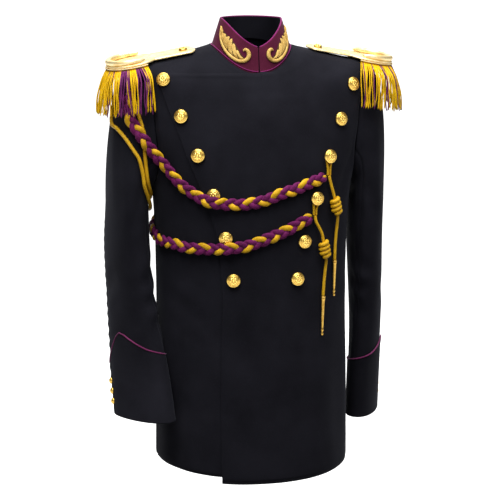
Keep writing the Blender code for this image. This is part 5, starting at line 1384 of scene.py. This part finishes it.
SIDE_CORD_B = [
    (-0.2042, -0.0540, -0.0840), (-0.2040, -0.0587, -0.1076), (-0.1986, -0.0644, -0.1303),
    (-0.1961, -0.0661, -0.1543), (-0.1948, -0.0668, -0.1784), (-0.1926, -0.0652, -0.2023),
    (-0.1891, -0.0607, -0.2256), (-0.1831, -0.0466, -0.2422), (-0.1806, -0.0267, -0.2526),
    (-0.1781, -0.0057, -0.2581), (-0.1759, 0.0155, -0.2572), (-0.1727, 0.0348, -0.2494),
    (-0.1684, 0.0506, -0.2356), (-0.1646, 0.0619, -0.2172), (-0.1624, 0.0693, -0.1960),
    (-0.1623, 0.0732, -0.1734), (-0.1642, 0.0743, -0.1501), (-0.1677, 0.0727, -0.1269),
    (-0.1726, 0.0687, -0.1040), (-0.1788, 0.0629, -0.0817), (-0.1860, 0.0560, -0.0600),
]
UPPER_LOOP = [
    (0.1102, -0.1127, -0.2130), (0.1101, -0.1129, -0.2018), (0.1081, -0.1130, -0.1880),
    (0.1076, -0.1126, -0.1809), (0.1090, -0.1119, -0.1774), (0.1125, -0.1105, -0.1754),
    (0.1160, -0.1093, -0.1774), (0.1174, -0.1090, -0.1810), (0.1169, -0.1096, -0.1881),
    (0.1149, -0.1109, -0.2018), (0.1147, -0.1107, -0.2131),
]
LOWER_LOOP = [
    (0.0842, -0.1212, -0.2795), (0.0841, -0.1218, -0.2694), (0.0838, -0.1221, -0.2577),
    (0.0833, -0.1223, -0.2507), (0.0845, -0.1220, -0.2467), (0.0882, -0.1209, -0.2451),
    (0.0919, -0.1198, -0.2467), (0.0931, -0.1192, -0.2507), (0.0926, -0.1192, -0.2578),
    (0.0889, -0.1202, -0.2694), (0.0887, -0.1197, -0.2795),
]
UPPER_TAG = [
    (0.1125, -0.1128, -0.2140), (0.1150, -0.1127, -0.2250), (0.1182, -0.1122, -0.2362),
    (0.1216, -0.1112, -0.2474), (0.1262, -0.1088, -0.2667), (0.1299, -0.1058, -0.2850),
    (0.1300, -0.1024, -0.3003), (0.1288, -0.1002, -0.3171), (0.1278, -0.0992, -0.3372),
    (0.1270, -0.0990, -0.3621),
]
LOWER_TAG = [
    (0.0864, -0.1212, -0.2805), (0.0884, -0.1216, -0.2910), (0.0950, -0.1205, -0.3033),
    (0.0993, -0.1198, -0.3130), (0.1018, -0.1188, -0.3240), (0.1047, -0.1174, -0.3392),
    (0.1074, -0.1158, -0.3545), (0.1080, -0.1138, -0.3640), (0.1070, -0.1124, -0.3780),
    (0.1050, -0.1127, -0.3979), (0.1034, -0.1139, -0.4208),
]
UPPER_POINT = ((0.1270, -0.0990, -0.3626), (0.1258, -0.0996, -0.4256))
LOWER_POINT = ((0.1034, -0.1139, -0.4213), (0.1011, -0.1175, -0.4901))
PLAIT_WIDTH = 0.0215
PLAIT_PERIOD = 0.0492       # length in which a strand goes from one edge to the other and back
STRAND_WIDE = 0.0047
STRAND_THICK = 0.0030
STRAND_RISE = 0.0023
CORD_RADIUS = 0.0032
LOOP_RADIUS = 0.0020
TAG_RADIUS = 0.0026
# Make of each strand of a plait: plies, length of twist, depth of groove, sides.
PURPLE_MAKE = (2, 0.013, 0.15, 16)
GOLD_MAKE = (7, 0.030, 0.05, 28)
STRAND_MAKES = (PURPLE_MAKE, PURPLE_MAKE, GOLD_MAKE)
GOLD_CORD = spun_thread("gold_cord_thread", (0.52, 0.26, 0.006), (0.95, 0.57, 0.018), 0.44, 0.08, 1300.0)
PURPLE_CORD = spun_thread("purple_cord_thread", (0.056, 0.003, 0.035), (0.195, 0.013, 0.118),
                          0.72, 0.15, 800.0)


def plait_strands(table):
    """Middle line of a plait and its three strands, the first two of them purple."""
    rows = along_route(table, 0.0013)
    middle = rows[:, :3]
    facing, tilt = np.radians(rows[:, 3]), np.radians(rows[:, 4])
    outward = unit(np.stack([np.sin(facing), -np.cos(facing), np.tan(tilt)], -1))
    ahead = unit(np.gradient(middle, axis=0))
    across = unit(np.cross(outward, ahead))
    outward = np.cross(ahead, across)
    run = run_along(middle)
    closing = end_rounding(run, 0.012)
    strands = []
    for k, make in enumerate(STRAND_MAKES):
        phase = 2 * math.pi * (run / PLAIT_PERIOD + k / len(STRAND_MAKES))
        wander = 1 + 0.06 * np.sin(run * 61 + 2.1 * k) + 0.04 * np.sin(run * 157 + k)
        sway = (PLAIT_WIDTH / 2 - STRAND_WIDE) * closing * np.sin(phase) * wander
        line = middle + across * sway[:, None] + outward * (STRAND_RISE * np.sin(2 * phase))[:, None]
        along = unit(np.gradient(line, axis=0))
        side = unit(np.cross(outward, along))
        plump = (1 + 0.05 * np.sin(run * 97 + 1.7 * k)) * closing
        strands.append(Rope(line, side, np.cross(along, side), STRAND_WIDE, STRAND_THICK, *make, 0, plump))
    return middle, strands


for name, table, length in (("plait_upper", UPPER_PLAIT, 0.46), ("plait_lower", LOWER_PLAIT, 0.68)):
    middle, strands = plait_strands(table)
    purple = dressed(rope_mesh(name + "_purple", strands[:2], [PURPLE_CORD]), name, "purple_cord")
    gold = dressed(rope_mesh(name + "_gold", strands[2:], [GOLD_CORD]), None, "gold_cord")
    middle[0 if name == "plait_upper" else -1].tolist()

PlainCord = namedtuple("PlainCord", "name route length spacing make")
# Make of a plain cord: radius, plies, length of twist, depth of groove, sides.
SIDE_MAKE = (CORD_RADIUS, 3, 0.020, 0.10, 18)
LOOP_MAKE = (LOOP_RADIUS, 3, 0.012, 0.12, 14)
for cord in (PlainCord("side_cord_a", SIDE_CORD_A, 0.56, 0.0016, SIDE_MAKE),
             PlainCord("side_cord_b", SIDE_CORD_B, 0.46, 0.0016, SIDE_MAKE),
             PlainCord("loop_upper", UPPER_LOOP, 0.08, 0.0010, LOOP_MAKE),
             PlainCord("loop_lower", LOWER_LOOP, 0.08, 0.0010, LOOP_MAKE)):
    points = along_route(cord.route, cord.spacing)
    ends = None
    if cord.make is SIDE_MAKE:
        ends = end_rounding(np.arange(len(points)) * cord.spacing, CORD_RADIUS)
    rope = round_rope(points, *cord.make, ends)
    piece = dressed(rope_mesh(cord.name + "_rope", [rope], [GOLD_CORD]), cord.name, "gold_cord")
    2 * cord.make[0]


# Hanging cords with slip knots and metal points -------------------------------------------------
# Each plait's loop goes on as a gold cord that hangs free. It is wound round itself in a knot of
# three and a half turns, and its end is crimped into a slim gilt point with turned rings.
KNOT_WINDS = 3.55
KNOT_STEPS = 190
KNOT_PITCH = 0.0074
KNOT_REACH = 0.0068         # from the hanging cord's middle to the coil's, drawn in at both ends
KNOT_CORD = 0.0038
KNOT_FLATNESS = 0.75
# Turned profile of a metal point: radii, and shares of its length from the cord to the tip.
POINT_PROFILE = [
    (0.0, 0.0), (0.0034, 0.0), (0.0038, 0.010), (0.0038, 0.035), (0.0031, 0.048), (0.0036, 0.060),
    (0.0036, 0.085), (0.0030, 0.100), (0.0029, 0.130), (0.0026, 0.300), (0.0022, 0.600), (0.0019, 0.780),
    (0.0017, 0.830), (0.0024, 0.845), (0.0024, 0.870), (0.0015, 0.885), (0.0013, 0.915), (0.0019, 0.935),
    (0.0022, 0.955), (0.0018, 0.982), (0.0008, 0.997), (0.0, 1.0),
]
Tag = namedtuple("Tag", "name route knot_row point length")
for tag in (Tag("upper", UPPER_TAG, 4, UPPER_POINT, 0.149), Tag("lower", LOWER_TAG, 5, LOWER_POINT, 0.146)):
    points = along_route(tag.route, 0.0012)
    cord_rope = round_rope(points, TAG_RADIUS, 3, 0.017, 0.10, 16)
    hanging = dressed(rope_mesh("tag_cord_" + tag.name + "_rope", [cord_rope], [GOLD_CORD]),
                      "tag_cord_" + tag.name, "gold_cord")
    centre = np.array(tag.route[tag.knot_row])
    along = unit(np.array(tag.route[tag.knot_row - 1]) - np.array(tag.route[tag.knot_row + 1]))
    place = front_place(centre[0], centre[2])
    outward = body_points(*place, 0.01) - body_points(*place)
    side = unit(np.cross(outward, along))
    outward = np.cross(along, side) * KNOT_FLATNESS
    wind = np.linspace(0, KNOT_WINDS, KNOT_STEPS)
    reach = KNOT_REACH * (1 - 0.42 * np.exp(-wind / 0.12) - 0.42 * np.exp(-(KNOT_WINDS - wind) / 0.12))
    coil = (centre + along * (KNOT_PITCH * (wind - KNOT_WINDS / 2))[:, None]
            + (side[None, :] * np.cos(2 * math.pi * wind)[:, None]
               + outward[None, :] * np.sin(2 * math.pi * wind)[:, None]) * reach[:, None])
    knot_rope = round_rope(coil, KNOT_CORD, 3, 0.017, 0.10, 16,
                           end_rounding(np.linspace(0, 0.12, KNOT_STEPS), KNOT_CORD))
    knot = dressed(rope_mesh("tag_knot_" + tag.name + "_rope", [knot_rope], [GOLD_CORD]),
                   "tag_knot_" + tag.name, "gold_cord")
    top, tip = (Vector(p) for p in tag.point)
    drop = tip - top
    frame_there = Matrix.Translation(top) @ drop.to_track_quat("Z", "Y").to_matrix().to_4x4()
    metal = turned_piece("ferrule_" + tag.name + "_point", [r for r, _ in POINT_PROFILE][::-1],
                         [share * drop.length for _, share in POINT_PROFILE][::-1], frame_there, GILT, 32)
    dressed(metal, "ferrule_" + tag.name, "gilt_metal")
